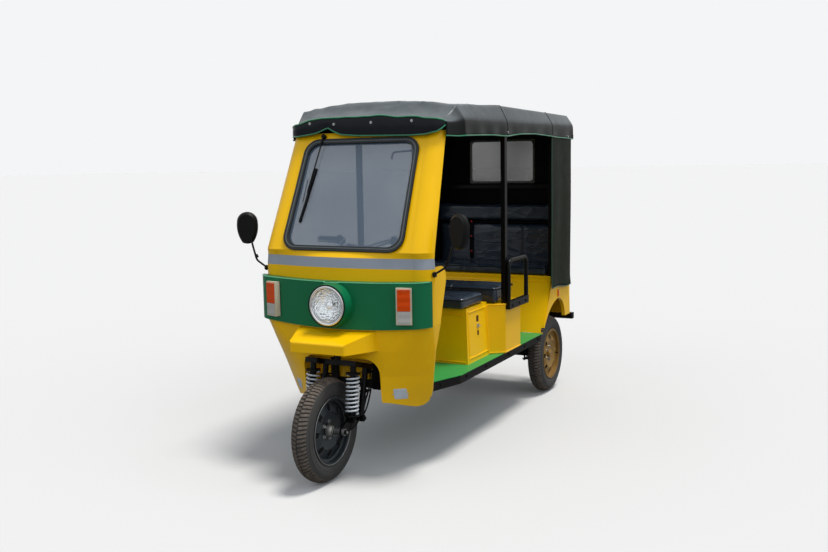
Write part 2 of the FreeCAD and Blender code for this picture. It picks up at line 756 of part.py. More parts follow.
def leaf_pack(side):
    """Stack of arched leaves with rolled eyes on a common centre."""
    y_mid = (LEAF_FRONT_Y + LEAF_REAR_Y) / 2.0
    half = (LEAF_REAR_Y - LEAF_FRONT_Y) / 2.0
    base = TYRE_R + AXLE_TUBE_R + LEAF_T * LEAF_COUNT
    sag = EYE_Z - base + LEAF_T / 2.0
    radius = (half * half + sag * sag) / (2.0 * sag)
    centre_z = base - LEAF_T / 2.0 + radius
    x0 = RAIL_X + (RAIL_W - LEAF_W) / 2.0
    pieces = []
    for k in range(LEAF_COUNT):
        inner = radius - LEAF_T / 2.0 + k * LEAF_T
        reach = half * (1.0 - 0.22 * k)
        angle = math.asin(reach / radius)
        points = []
        for r, a in ((inner, -angle), (inner, 0.0), (inner, angle)):
            points.append(V(x0, y_mid + r * math.sin(a), centre_z - r * math.cos(a)))
        low = []
        outer = inner + LEAF_T
        for a in (angle, 0.0, -angle):
            low.append(V(x0, y_mid + outer * math.sin(a), centre_z - outer * math.cos(a)))
        wire = Part.Wire([
            Part.Arc(*points).toShape(), Part.LineSegment(points[2], low[0]).toShape(),
            Part.Arc(*low).toShape(), Part.LineSegment(low[2], points[0]).toShape()])
        pieces.append(Part.Face(wire).extrude(V(LEAF_W, 0, 0)))
    for y in (LEAF_FRONT_Y, LEAF_REAR_Y):
        pieces.append(rod((x0, y, EYE_Z), (x0 + LEAF_W, y, EYE_Z), EYE_R))
    pack = fused(pieces)
    for y in (LEAF_FRONT_Y, LEAF_REAR_Y):
        pack = pack.cut(rod((x0 - 1.0, y, EYE_Z), (x0 + LEAF_W + 1.0, y, EYE_Z), PIN_R + PIN_CLEARANCE))
    return pack if side > 0 else mirrored(pack)


def spring_hanger(y, side):
    top = FLOOR_TOP - FLOOR_T - 1.0
    x0 = RAIL_X
    x1 = RAIL_X + RAIL_W
    gap = (RAIL_W - LEAF_W) / 2.0
    pieces = [rod((x0, y, EYE_Z), (x1, y, EYE_Z), PIN_R)]
    for a, b in ((x0 - HANGER_T + gap - 1.0, x0 + gap - 1.0), (x1 - gap + 1.0, x1 - gap + 1.0 + HANGER_T)):
        pieces.append(box(a, b, y - 16.0, y + 16.0, EYE_Z - 16.0, top))
    hanger = fused(pieces)
    return hanger if side > 0 else mirrored(hanger)


def rear_axle():
    """Beam with the differential case, brake backing plates and shaft ends."""
    y = WHEELBASE
    z = TYRE_R
    plate_in = REAR_WHEEL_X - REAR_DRUM_IN - BACKING_GAP - BACKING_T
    end = REAR_WHEEL_X + HUB_CAP_OUT - 14.0
    case = turned((
        (-DIFF_W / 2.0, 0.0), (-DIFF_W / 2.0, DIFF_R * 0.55), (-DIFF_W * 0.28, DIFF_R), (DIFF_W * 0.28, DIFF_R),
        (DIFF_W / 2.0, DIFF_R * 0.55), (DIFF_W / 2.0, 0.0)), (0.0, y, z), 1)
    pieces = [rod((-plate_in, y, z), (plate_in, y, z), AXLE_TUBE_R), case, rod((-end, y, z), (end, y, z), REAR_SHAFT_R)]
    for side in (-1, 1):
        pieces.append(rod((side * plate_in, y, z), (side * (plate_in + BACKING_T), y, z), BACKING_R))
    return fused(pieces)


def drive_motor():
    y1 = WHEELBASE - DIFF_R * 0.6
    body = rod((0.0, y1 - MOTOR_LEN, TYRE_R), (0.0, y1, TYRE_R), MOTOR_R)
    cap = rod((0.0, y1 - MOTOR_LEN - 24.0, TYRE_R), (0.0, y1 - MOTOR_LEN, TYRE_R), MOTOR_R - 14.0)
    motor = fused([body, cap])
    return motor.cut(rear_axle())


# Front body


def plan_wire(section, back_y, grow=0.0, lift=0.0):
    """Closed plan outline of a body section, from its front round to back_y."""
    z, y_front, half, bow, inset, depth, roundness = section
    z = z + lift
    y_front = y_front + grow
    half = half - grow
    inset = inset - grow
    y0 = y_front + bow
    share = 0.5 + 0.207 * roundness
    start = V(half - inset, y0, z)
    middle = V(half - inset + inset * share, y0 + (depth - grow) * (1.0 - share), z)
    end = V(half, y0 + depth - grow, z)

    def flip(p):
        return V(-p.x, p.y, p.z)

    back = V(half, back_y, z)
    edges = [
        Part.Arc(flip(start), V(0, y_front, z), start).toShape(),
        Part.Arc(start, middle, end).toShape(),
        Part.LineSegment(end, back).toShape(),
        Part.LineSegment(back, flip(back)).toShape(),
        Part.LineSegment(flip(back), flip(end)).toShape(),
        Part.Arc(flip(end), flip(middle), flip(start)).toShape(),
    ]
    return Part.Wire(edges)


def body_solid(sections, back_y, grow=0.0):
    wires = [plan_wire(s, back_y, grow) for s in sections]
    return Part.makeLoft(wires, True, True)


def stretched(sections, reach):
    """The same sections with the first and last moved past the ends by reach."""
    rows = [list(s) for s in sections]
    rows[0][0] -= reach
    rows[-1][0] += reach
    return rows


def arch_cutter():
    half = ARCH_HALF_W
    points = [V(-half, -80, 300), V(-half, -80, ARCH_TOP), V(half, -80, ARCH_TOP), V(half, -80, 300)]
    wire = round_path(points, [0.01, ARCH_ROUND, ARCH_ROUND, 0.01], True)
    return Part.Face(wire).extrude(V(0, FIREWALL_Y + 80, 0))


def shield_outer():
    return body_solid(SHIELD_SECTIONS, SHIELD_BACK_Y)


def leg_shield():
    """Lower shell: nose with the wheel arch, swept legs and the cheeks behind."""
    shell = shield_outer().cut(body_solid(stretched(SHIELD_SECTIONS, 1.0), SHIELD_BACK_Y + 1.0, SHIELD_T))
    edge = list(CHEEK_EDGE) + [(500.0, 371.0), (500.0, 1000.0)]
    shell = shell.cut(slab_x(edge, -600, 600))
    top = SHIELD_SECTIONS[-1]
    half = top[2]
    rear = CHEEK_EDGE[0][0]
    start = FRAME_SECTIONS[0][1] + FRAME_SECTIONS[0][3] + FRAME_SECTIONS[0][5] + 2.0
    ear = box(half - SHIELD_T, half, start, rear, top[0], CHEEK_TOP)
    corner = [e for e in ear.Edges if abs(e.tangentAt(e.FirstParameter).x) > 0.99
              and e.CenterOfMass.y > rear - 1 and e.CenterOfMass.z > CHEEK_TOP - 1]
    ear = ear.makeFillet(CHEEK_ROUND, corner)
    shell = fused([shell, ear, mirrored(ear)])
    notch = rod(axis_point(YOKE_LOW_Z), axis_point(HEAD_HIGH_Z), COLUMN_NOTCH_R)
    return shell.cut([arch_cutter(), notch])


def wheel_housing():
    """Inner walls and roof of the space in which the front wheel turns."""
    half = ARCH_HALF_W
    t = HOUSING_T
    low = FLOOR_TOP - FLOOR_T - RAIL_H
    outer = box(-half - t, half + t, 60.0, FIREWALL_Y, low, HOUSING_TOP)
    inner = box(-half, half, 59.0, FIREWALL_Y + 1.0, low - 1.0, HOUSING_TOP - t)
    wall = outer.cut(inner)
    hole = rod(axis_point(HOUSING_TOP - 60.0), axis_point(HOUSING_TOP + 60.0), COLUMN_HOLE_R)
    wall = wall.cut(hole)
    wall = wall.common(body_solid(SHIELD_SECTIONS, SHIELD_BACK_Y, SHIELD_T + 0.2))
    return wall.fuse(firewall()).removeSplitter().cut(steering_head())


def firewall():
    points = (
        (-FLOOR_FLARE_HALF_W, FLOOR_TOP - FLOOR_T), (FLOOR_FLARE_HALF_W, FLOOR_TOP - FLOOR_T),
        (FIREWALL_HALF_W, FIREWALL_TOP - 330.0), (FIREWALL_HALF_W, FIREWALL_TOP),
        (-FIREWALL_HALF_W, FIREWALL_TOP), (-FIREWALL_HALF_W, FIREWALL_TOP - 330.0))
    face = Part.Face(polygon([V(x, FIREWALL_Y, z) for x, z in points]))
    sheet = face.extrude(V(0, FIREWALL_T, 0))
    inside = body_solid(SHIELD_SECTIONS, SHIELD_BACK_Y, SHIELD_T + 0.2)
    return sheet.common(inside.fuse(box(-420, 420, 200, 400, 900, FIREWALL_TOP)))


def windscreen_frame():
    outer = body_solid(FRAME_SECTIONS, 700.0)
    inner = body_solid(stretched(FRAME_SECTIONS, 1.0), 701.0, FRAME_T)
    shell = outer.cut(inner)
    low = FRAME_SECTIONS[0]
    high = FRAME_SECTIONS[-1]
    y_low = low[1] + low[3] + low[5]
    y_bend = FRAME_SECTIONS[3][1] + FRAME_SECTIONS[3][3] + FRAME_SECTIONS[3][5] + 4.0
    y_high = high[1] + high[3] + high[5]
    edge = ((y_low, low[0] - 2.0), (y_low, FRAME_SECTIONS[2][0]), (y_bend, FRAME_SECTIONS[3][0]),
            (y_high, high[0]), (y_high + 1.0, high[0] + 2.0), (800.0, high[0] + 2.0), (800.0, low[0] - 2.0))
    shell = shell.cut(slab_x(edge, -600, 600))
    return shell.cut(glass_prism(GASKET_W - 4.0, -60.0, 60.0))


def glass_up():
    run = V(0, GLASS_HIGH[0] - GLASS_LOW[0], GLASS_HIGH[1] - GLASS_LOW[1])
    return run.normalize()


def glass_length():
    return math.hypot(GLASS_HIGH[0] - GLASS_LOW[0], GLASS_HIGH[1] - GLASS_LOW[1])


def glass_out():
    up = glass_up()
    return V(0, -up.z, up.y)


def on_glass(x, up, out=0.0):
    """Point on the windscreen plane, up from its lower edge and out of its face."""
    return V(x, GLASS_LOW[0], GLASS_LOW[1]) + glass_up() * up + glass_out() * out


def glass_prism(inset, out0, out1):
    """Solid over the windscreen outline, narrowed by inset all round."""
    length = glass_length()
    low = GASKET_LOW_HALF_W - inset
    high = GASKET_HIGH_HALF_W - inset
    points = [on_glass(-low, inset, out0), on_glass(low, inset, out0),
              on_glass(high, length - inset, out0), on_glass(-high, length - inset, out0)]
    radius = GASKET_ROUND - inset * 0.6
    wire = round_path(points, [radius] * 4, True)
    return Part.Face(wire).extrude(glass_out() * (out1 - out0))


def windscreen_gasket():
    outer = glass_prism(0.0, 0.0, GASKET_PROUD)
    neck = glass_prism(GASKET_W - 4.0, -FRAME_T + 4.0, 0.0)
    ring = fused([outer, neck])
    ring = ring.cut(glass_prism(GASKET_W, -FRAME_T, GASKET_PROUD + 1.0))
    return ring.cut(windscreen_glass()).cut(windscreen_frame())


def windscreen_glass():
    return glass_prism(GASKET_W - 3.0, -GLASS_DEPTH, -GLASS_DEPTH + GLASS_T)


def band_outer():
    return body_solid(BAND_SECTIONS, 204.0)


def lamp_bucket():
    face = LAMP_FACE_Y + BEZEL_D / 2.0
    back = BAND_SECTIONS[0][1] + 30.0
    cone = Part.makeCone(BUCKET_R, BUCKET_R + BUCKET_FLARE, back - face, V(0, face, LAMP_Z), V(0, 1, 0))
    return cone


def front_band():
    """Moulded band round the nose with the round bucket of the headlamp."""
    band = band_outer()
    centre = (BAND_TOP + BAND_LOW) / 2.0
    half = BAND_SECTIONS[0][2]
    lows = [V(-half - 20, -40, BAND_LOW + BAND_LOW_LIFT), V(0, -40, BAND_LOW), V(half + 20, -40, BAND_LOW + BAND_LOW_LIFT)]
    highs = [V(half + 20, -40, BAND_TOP + BAND_TOP_LIFT), V(0, -40, BAND_TOP), V(-half - 20, -40, BAND_TOP + BAND_TOP_LIFT)]
    wire = Part.Wire([
        Part.Arc(*lows).toShape(), Part.LineSegment(lows[2], highs[0]).toShape(),
        Part.Arc(*highs).toShape(), Part.LineSegment(highs[2], lows[0]).toShape()])
    band = band.common(Part.Face(wire).extrude(V(0, 400, 0)))
    band = fused([band, lamp_bucket()])
    band = band.cut(shield_outer()).cut(body_solid(FRAME_SECTIONS, 400.0))
    bore = rod((0, -40, LAMP_Z), (0, LAMP_FACE_Y + 60.0, LAMP_Z), BEZEL_R - 3.0)
    return largest(band.cut(bore))


def largest(shape):
    return max(shape.Solids, key=lambda s: s.Volume)


def headlamp_bezel():
    y0 = LAMP_FACE_Y
    profile = [V(0, y0 + 6.0, LAMP_Z + BEZEL_R - BEZEL_W), V(0, y0, LAMP_Z + BEZEL_R - BEZEL_W / 2.0),
               V(0, y0 + BEZEL_D / 2.0, LAMP_Z + BEZEL_R)]
    wire = Part.Wire([Part.Arc(*profile).toShape(), Part.LineSegment(profile[2], profile[0]).toShape()])
    ring = Part.Face(wire).revolve(V(0, 0, LAMP_Z), V(0, 1, 0), 360)
    return ring


def headlamp_bowl():
    """Reflector dish open to the front."""
    y0 = LAMP_FACE_Y + BEZEL_D / 2.0 + LENS_T
    r = BEZEL_R - BEZEL_W / 2.0
    t = BOWL_T
    outer = [V(0, y0, LAMP_Z + r), V(0, y0 + 34.0, LAMP_Z + r * 0.72), V(0, y0 + 48.0, LAMP_Z + 24.0)]
    inner = [V(0, y0 + 48.0 - t, LAMP_Z + 24.0), V(0, y0 + 34.0 - t, LAMP_Z + r * 0.72 - t), V(0, y0, LAMP_Z + r - t)]
    floor = V(0, y0 + 48.0, LAMP_Z)
    wire = Part.Wire([
        Part.Arc(*outer).toShape(), Part.LineSegment(outer[2], floor).toShape(),
        Part.LineSegment(floor, V(0, y0 + 48.0 - t, LAMP_Z)).toShape(),
        Part.LineSegment(V(0, y0 + 48.0 - t, LAMP_Z), inner[0]).toShape(),
        Part.Arc(*inner).toShape(), Part.LineSegment(inner[2], outer[0]).toShape()])
    return Part.Face(wire).revolve(V(0, 0, LAMP_Z), V(0, 1, 0), 360)


def headlamp_lens():
    """Domed lens of even thickness, set behind the bezel."""
    y_edge = LAMP_FACE_Y + BEZEL_D / 2.0
    r = BEZEL_R - BEZEL_W
    ball = (r * r + LENS_BULGE * LENS_BULGE) / (2.0 * LENS_BULGE)
    half = math.asin(r / ball) / 2.0

    def dome(y):
        middle = V(0, y - LENS_BULGE + ball * (1.0 - math.cos(half)), LAMP_Z + ball * math.sin(half))
        return [V(0, y, LAMP_Z + r), middle, V(0, y - LENS_BULGE, LAMP_Z)]

    front = dome(y_edge)
    back = dome(y_edge + LENS_T)[::-1]
    wire = Part.Wire([
        Part.Arc(*front).toShape(), Part.LineSegment(front[2], back[0]).toShape(),
        Part.Arc(*back).toShape(), Part.LineSegment(back[2], front[0]).toShape()])
    return Part.Face(wire).revolve(V(0, 0, LAMP_Z), V(0, 1, 0), 360)


def yawed(shape, x, y, angle):
    shape.rotate(V(x, y, 0), V(0, 0, 1), angle)
    return shape


def indicator_piece(x_in, z0, z1, y0, y1):
    half = INDICATOR_W / 2.0 - x_in
    piece = box(INDICATOR_X - half, INDICATOR_X + half, y0, y1, z0, z1)
    return yawed(piece, INDICATOR_X, INDICATOR_FACE_Y, INDICATOR_YAW)


def indicator_housing():
    z0 = INDICATOR_Z - INDICATOR_H / 2.0
    z1 = INDICATOR_Z + INDICATOR_H / 2.0
    y = INDICATOR_FACE_Y
    body = indicator_piece(0.0, z0, z1, y, y + INDICATOR_D + 40.0)
    tray = indicator_piece(INDICATOR_RIM, z0 + INDICATOR_RIM, z1 - INDICATOR_RIM, y - 1.0, y + INDICATOR_LENS_D)
    body = body.cut([tray, band_outer(), shield_outer()])
    return largest(body)


def indicator_lens(low_share, high_share, proud):
    z0 = INDICATOR_Z - INDICATOR_H / 2.0 + INDICATOR_RIM
    span = INDICATOR_H - 2.0 * INDICATOR_RIM
    y = INDICATOR_FACE_Y
    lens = indicator_piece(INDICATOR_RIM, z0 + span * low_share, z0 + span * high_share, y - proud,
                           y + INDICATOR_LENS_D)
    return lens


def nose_shelf():
    """Sloping shelf that shades the front wheel, hollow from below."""

    def ring(y, half, low, high):
        return polygon([V(-half, y, low), V(half, y, low), V(half, y, high), V(-half, y, high)])

    outer = Part.makeLoft([
        ring(LIP_FRONT_Y, LIP_FRONT_HALF_W, LIP_FRONT_LOW, LIP_FRONT_TOP),
        ring(LIP_BACK_Y, LIP_BACK_HALF_W, LIP_BACK_LOW, LIP_BACK_TOP)], True, True)
    front = [e for e in outer.Edges if e.CenterOfMass.y < LIP_FRONT_Y + 1 and e.CenterOfMass.z > LIP_FRONT_LOW + 1]
    outer = outer.makeFillet(14.0, front)
    t = LIP_T
    inner = Part.makeLoft([
        ring(LIP_FRONT_Y + t, LIP_FRONT_HALF_W - t, LIP_FRONT_LOW - 20.0, LIP_FRONT_TOP - t - 6.0),
        ring(LIP_BACK_Y + 1.0, LIP_BACK_HALF_W - t, LIP_BACK_LOW - 20.0, LIP_BACK_TOP - t - 6.0)], True, True)
    shell = outer.cut(inner).cut(shield_outer()).cut(front_band())
    return largest(shell)


# Mirrors, wiper and dashboard


def egg_face(x, y, z, half_w, half_h):
    """Face of a mirror head: round above, narrower below."""
    top = Part.Arc(V(x - half_w, y, z + half_h - half_w), V(x, y, z + half_h), V(x + half_w, y, z + half_h - half_w))
    right = Part.Arc(V(x + half_w, y, z + half_h - half_w), V(x + half_w * 0.92, y, z - half_h * 0.35),
                     V(x + half_w * 0.5, y, z - half_h * 0.92))
    low = Part.Arc(V(x + half_w * 0.5, y, z - half_h * 0.92), V(x, y, z - half_h), V(x - half_w * 0.5, y, z - half_h * 0.92))
    left = Part.Arc(V(x - half_w * 0.5, y, z - half_h * 0.92), V(x - half_w * 0.92, y, z - half_h * 0.35),
                    V(x - half_w, y, z + half_h - half_w))
    return Part.Wire([top.toShape(), right.toShape(), low.toShape(), left.toShape()])


def mirror_head():
    x, y, z = MIRROR_X, MIRROR_Y, MIRROR_Z
    w = MIRROR_W / 2.0
    h = MIRROR_H / 2.0
    d = MIRROR_D / 2.0
    shell = Part.makeLoft([
        egg_face(x, y + d, z, w, h), egg_face(x, y, z, w, h), egg_face(x, y - d * 0.75, z, w * 0.82, h * 0.85)],
        True, True)
    dish = Part.Face(egg_face(x, y + d - MIRROR_GLASS_T, z, w - MIRROR_RIM, h - MIRROR_RIM))
    shell = shell.cut(dish.extrude(V(0, MIRROR_GLASS_T + 1.0, 0)))
    return yawed(shell, x, y, -MIRROR_YAW)


def mirror_stalk():
    base_x = FRAME_SECTIONS[0][2]
    foot = (base_x - 2.0, STALK_Y, STALK_BASE_Z)
    low = (STALK_BEND_X, STALK_Y, STALK_BEND_Z - 20.0)
    top = (MIRROR_X - 20.0, MIRROR_Y, MIRROR_Z - MIRROR_H * 0.3)
    stalk = round_tube([foot, low, top], [0, 40.0, 0], STALK_R)
    boss = rod((base_x - 2.0, STALK_Y, STALK_BASE_Z), (base_x + 8.0, STALK_Y, STALK_BASE_Z + 3.0), 13.0)
    return fused([stalk, boss])


def mirror():
    piece = fused([mirror_head(), mirror_stalk()])
    return largest(piece.cut(body_solid(FRAME_SECTIONS, 700.0)))


def wiper():
    """Arm from its pivot over the glass and the blade that it presses down."""
    out = WIPER_GAP
    pivot = on_glass(WIPER_PIVOT[0], WIPER_PIVOT[1], out)
    tip = on_glass(WIPER_TIP[0], WIPER_TIP[1], out)
    arm = rod(tuple(pivot), tuple(tip), WIPER_ARM_R)
    boss = rod(tuple(on_glass(WIPER_PIVOT[0], WIPER_PIVOT[1], -2.0)), tuple(on_glass(WIPER_PIVOT[0], WIPER_PIVOT[1], out + 6.0)), 11.0)
    high = on_glass(BLADE_HIGH[0], BLADE_HIGH[1], 0.0)
    low = on_glass(BLADE_LOW[0], BLADE_LOW[1], 0.0)
    along = (low - high).normalize()
    side = along.cross(glass_out()) * (BLADE_W / 2.0)
    foot = glass_out() * (-GLASS_DEPTH + GLASS_T + 0.5)
    face = Part.Face(polygon([high + side + foot, high - side + foot, low - side + foot, low + side + foot]))
    blade = face.extrude(glass_out() * (WIPER_GAP + GLASS_DEPTH - GLASS_T - 2.0))
    solid = fused([arm, boss, blade])
    return largest(solid.cut(windscreen_frame()))


def dashboard():
    half = DASH_HALF_W
    points = ((DASH_FRONT_Y, DASH_TOP), (DASH_FRONT_Y, DASH_LOW), (DASH_BACK_Y - 10.0, DASH_LOW),
              (DASH_BACK_Y, DASH_LOW + 14.0), (DASH_BACK_Y - 28.0, DASH_TOP))
    panel = slab_x(points, -half, half)
    hole = rod(axis_point(DASH_LOW - 60.0), axis_point(DASH_TOP + 60.0), COLUMN_HOLE_R)
    pod = rod((GAUGE_X, DASH_BACK_Y - 80.0, DASH_TOP - 4.0), (GAUGE_X, DASH_BACK_Y - 60.0, DASH_TOP + 32.0), GAUGE_R)
    panel = fused([panel.cut(hole), pod])
    clear = body_solid(FRAME_SECTIONS, 600.0, FRAME_T + 1.0)
    return largest(panel.common(clear))


def pedal():
    """Foot brake: a lever from the firewall with its pad."""
    pad = rounded_box(PEDAL_X - 35.0, PEDAL_X + 35.0, PEDAL_Y - 10.0, PEDAL_Y + 8.0, PEDAL_Z - 25.0, PEDAL_Z + 25.0, 4.0)
    y_wall = FIREWALL_Y + FIREWALL_T
    z_foot = PEDAL_Z + PEDAL_DROP
    bend = (PEDAL_X, PEDAL_Y - 30.0, z_foot - 10.0)
    path = [(PEDAL_X, y_wall + PEDAL_FOOT_T / 2.0, z_foot), bend, (PEDAL_X, PEDAL_Y - 6.0, PEDAL_Z)]
    arm = round_tube(path, [0, 30.0, 0], PEDAL_ARM_R)
    foot = rod((PEDAL_X, y_wall, z_foot), (PEDAL_X, y_wall + PEDAL_FOOT_T, z_foot), PEDAL_FOOT_R)
    return fused([pad, arm, foot])


# Seats


def driver_box():
    """Tapered seat base of sheet, open below on the floor."""

    def ring(z, half, front, rear):
        return polygon([V(-half, front, z), V(half, front, z), V(half, rear, z), V(-half, rear, z)])

    t = SHEET_T
    outer = Part.makeLoft([
        ring(FLOOR_TOP, DRIVER_BOX_LOW_HALF_W, DRIVER_BOX_FRONT - 8.0, DRIVER_BOX_REAR),
        ring(DRIVER_BOX_TOP, DRIVER_BOX_TOP_HALF_W, DRIVER_BOX_FRONT + 8.0, DRIVER_BOX_REAR)], True, True)
    inner = Part.makeLoft([
        ring(FLOOR_TOP - 1.0, DRIVER_BOX_LOW_HALF_W - t, DRIVER_BOX_FRONT - 8.0 + t, DRIVER_BOX_REAR - t),
        ring(DRIVER_BOX_TOP - t, DRIVER_BOX_TOP_HALF_W - t, DRIVER_BOX_FRONT + 8.0 + t, DRIVER_BOX_REAR - t)],
        True, True)
    return outer.cut(inner)


def bench_outline(inset):
    half = BENCH_HALF_W - inset
    corner = BENCH_CORNER_X - inset * 0.5
    return (
        (-half, BENCH_REAR - inset), (-half, BENCH_CORNER_Y + inset * 0.5), (-corner, BENCH_FRONT + inset),
        (corner, BENCH_FRONT + inset), (half, BENCH_CORNER_Y + inset * 0.5), (half, BENCH_REAR - inset))


def bench_box():
    outer = slab_z(bench_outline(0.0), FLOOR_TOP, BENCH_TOP)
    inner = slab_z(bench_outline(SHEET_T), FLOOR_TOP - 1.0, BENCH_TOP - SHEET_T)
    return outer.cut(inner)


def cushion(half, front, rear, low, top):
    return rounded_box(-half, half, front, rear, low, top, PAD_ROUND)


def battery():
    y_mid = (BENCH_CORNER_Y + BENCH_REAR) / 2.0 - 10.0
    return box(-BATTERY_HALF_W, BATTERY_HALF_W, y_mid - BATTERY_D / 2.0, y_mid + BATTERY_D / 2.0,
               FLOOR_TOP, FLOOR_TOP + BATTERY_H)


# Rear body


def back_y(z):
    """y of the rear body's back face at a height."""
    share = (z - REAR_LOW_Z) / (SEAT_TOP - REAR_LOW_Z)
    return REAR_LOW_Y + share * (REAR_TOP_Y - REAR_LOW_Y)


def rear_outline():
    """Side view of the rear body as y and z, without the wheel arch."""
    return (
        (RISER_LOW_Y, FLOOR_TOP), (FENDER_TOP_FRONT_Y, FENDER_TOP), (back_y(FENDER_TOP + 18.0), FENDER_TOP + 18.0),
        (REAR_LOW_Y, REAR_LOW_Z), (ARCH_REAR[0], REAR_LOW_Z), (ARCH_REAR[0], FLOOR_TOP))


def arch_edge(x, grow):
    """Rear wheel arch as a closed wire at x, grown outward by grow."""
    front = V(x, ARCH_FRONT[0] - grow, ARCH_FRONT[1])
    mid = V(x, ARCH_MID[0] - grow * 0.7, ARCH_MID[1] + grow * 0.7)
    crown = V(x, ARCH_CROWN[0], ARCH_CROWN[1] + grow)
    turn = V(x, ARCH_REAR[0] - 44.0 + grow * 0.7, ARCH_CROWN[1] - 44.0 + grow * 0.7)
    rear = V(x, ARCH_REAR[0] + grow, ARCH_REAR[1])
    low_rear = V(x, ARCH_REAR[0] + grow, ARCH_REAR[1] - 120.0)
    low_front = V(x, ARCH_FRONT[0] - grow, ARCH_REAR[1] - 120.0)
    return Part.Wire([
        Part.Arc(front, mid, crown).toShape(), Part.Arc(crown, turn, rear).toShape(),
        Part.LineSegment(rear, low_rear).toShape(), Part.LineSegment(low_rear, low_front).toShape(),
        Part.LineSegment(low_front, front).toShape()])


def fender():
    """Side panel with the wheel arch and the flange turned in round it."""
    x1 = FENDER_X
    x0 = x1 - FENDER_T
    panel = slab_x(rear_outline(), x0, x1)
    cut = Part.Face(arch_edge(x0 - 60.0, 0.0)).extrude(V(120, 0, 0))
    collar = Part.Face(arch_edge(x1 - ARCH_LIP, 4.0)).extrude(V(ARCH_LIP, 0, 0))
    outline = slab_x(rear_outline(), x1 - ARCH_LIP, x1)
    collar = collar.common(outline)
    panel = fused([panel, collar])
    return largest(panel.cut(cut))


def rear_tub():
    """Sloping riser, lip, seat top and back between the side panels."""
    half = FENDER_X - FENDER_T
    t = SHEET_T
    riser = slab_x((
        (RISER_LOW_Y, FLOOR_TOP), (RISER_TOP_Y, RISER_TOP_Z), (RISER_TOP_Y, SEAT_TOP),
        (REAR_TOP_Y - t, SEAT_TOP), (REAR_TOP_Y - t, SEAT_TOP - t), (RISER_TOP_Y + t, SEAT_TOP - t),
        (RISER_TOP_Y + t, RISER_TOP_Z), (RISER_LOW_Y + t + 2.0, FLOOR_TOP)), -half, half)
    flank = slab_x((
        (FENDER_TOP_FRONT_Y + 6.0, FENDER_TOP), (RISER_TOP_Y + t, SEAT_TOP - t),
        (REAR_TOP_Y - t, SEAT_TOP - t), (REAR_TOP_Y - t, FENDER_TOP + 16.0)), half - t, half)
    back = slab_x((
        (REAR_LOW_Y, REAR_LOW_Z), (REAR_TOP_Y, SEAT_TOP), (REAR_TOP_Y - BACK_T, SEAT_TOP),
        (REAR_LOW_Y - BACK_T, REAR_LOW_Z)), -half, half)
    clear = [collar_space(1), collar_space(-1)]
    return fused([riser, flank, mirrored(flank), back]).cut(clear)


def collar_space(side):
    space = Part.Face(arch_edge(FENDER_X - ARCH_LIP - 0.2, 4.2)).extrude(V(ARCH_LIP, 0, 0))
    return space if side > 0 else mirrored(space)


# Canopy


def canopy_wire(section, inset):
    y, half, shoulder, step, inner, crown = section
    half = half - inset
    low = HEM_Z - (1.0 if inset else 0.0)
    points = [V(-half, y, low), V(-half, y, shoulder - inset * 0.4), V(-half + step, y, inner - inset),
              V(0, y, crown - inset), V(half - step, y, inner - inset), V(half, y, shoulder - inset * 0.4), V(half, y, low)]
    edges = [
        Part.LineSegment(points[0], points[1]).toShape(), Part.LineSegment(points[1], points[2]).toShape(),
        Part.Arc(points[2], points[3], points[4]).toShape(), Part.LineSegment(points[4], points[5]).toShape(),
        Part.LineSegment(points[5], points[6]).toShape(), Part.LineSegment(points[6], points[0]).toShape()]
    return Part.Wire(edges)


def canopy_sections(inset):
    rows = [list(s) for s in CANOPY_SECTIONS]
    if inset:
        rows[0][0] += inset
        rows[-1][0] -= inset
    return [canopy_wire(r, inset) for r in rows]


def canopy_cover():
    """Cloth roof with its side and front flaps, open below."""
    outer = Part.makeLoft(canopy_sections(0.0), True, True)
    inner = Part.makeLoft(canopy_sections(CANOPY_T), True, True)
    return outer.cut(inner)


def crown_at(y):
    rows = CANOPY_SECTIONS
    for a, b in zip(rows, rows[1:]):
        if a[0] <= y <= b[0]:
            s = (y - a[0]) / (b[0] - a[0])
            return [p + s * (q - p) for p, q in zip(a, b)]
    return list(rows[-1])


def bow(y):
    """Roof bow from rail to rail, arched under the cloth."""
    row = crown_at(y)
    gap = CANOPY_T + BOW_R + 3.0
    x = POST_X + POST_W / 2.0
    top = row[4] - gap - 6.0
    crown = row[5] - gap - 3.0
    z0 = RAIL_LOW + TOP_RAIL_H / 2.0
    lift = (crown - top) * 0.8
    points = [(-x, y, z0), (-x + 8.0, y, top - 4.0), (-150.0, y, top + lift), (150.0, y, top + lift),
              (x - 8.0, y, top - 4.0), (x, y, z0)]
    return round_tube(points, [0, 30.0, 300.0, 300.0, 30.0, 0], BOW_R)


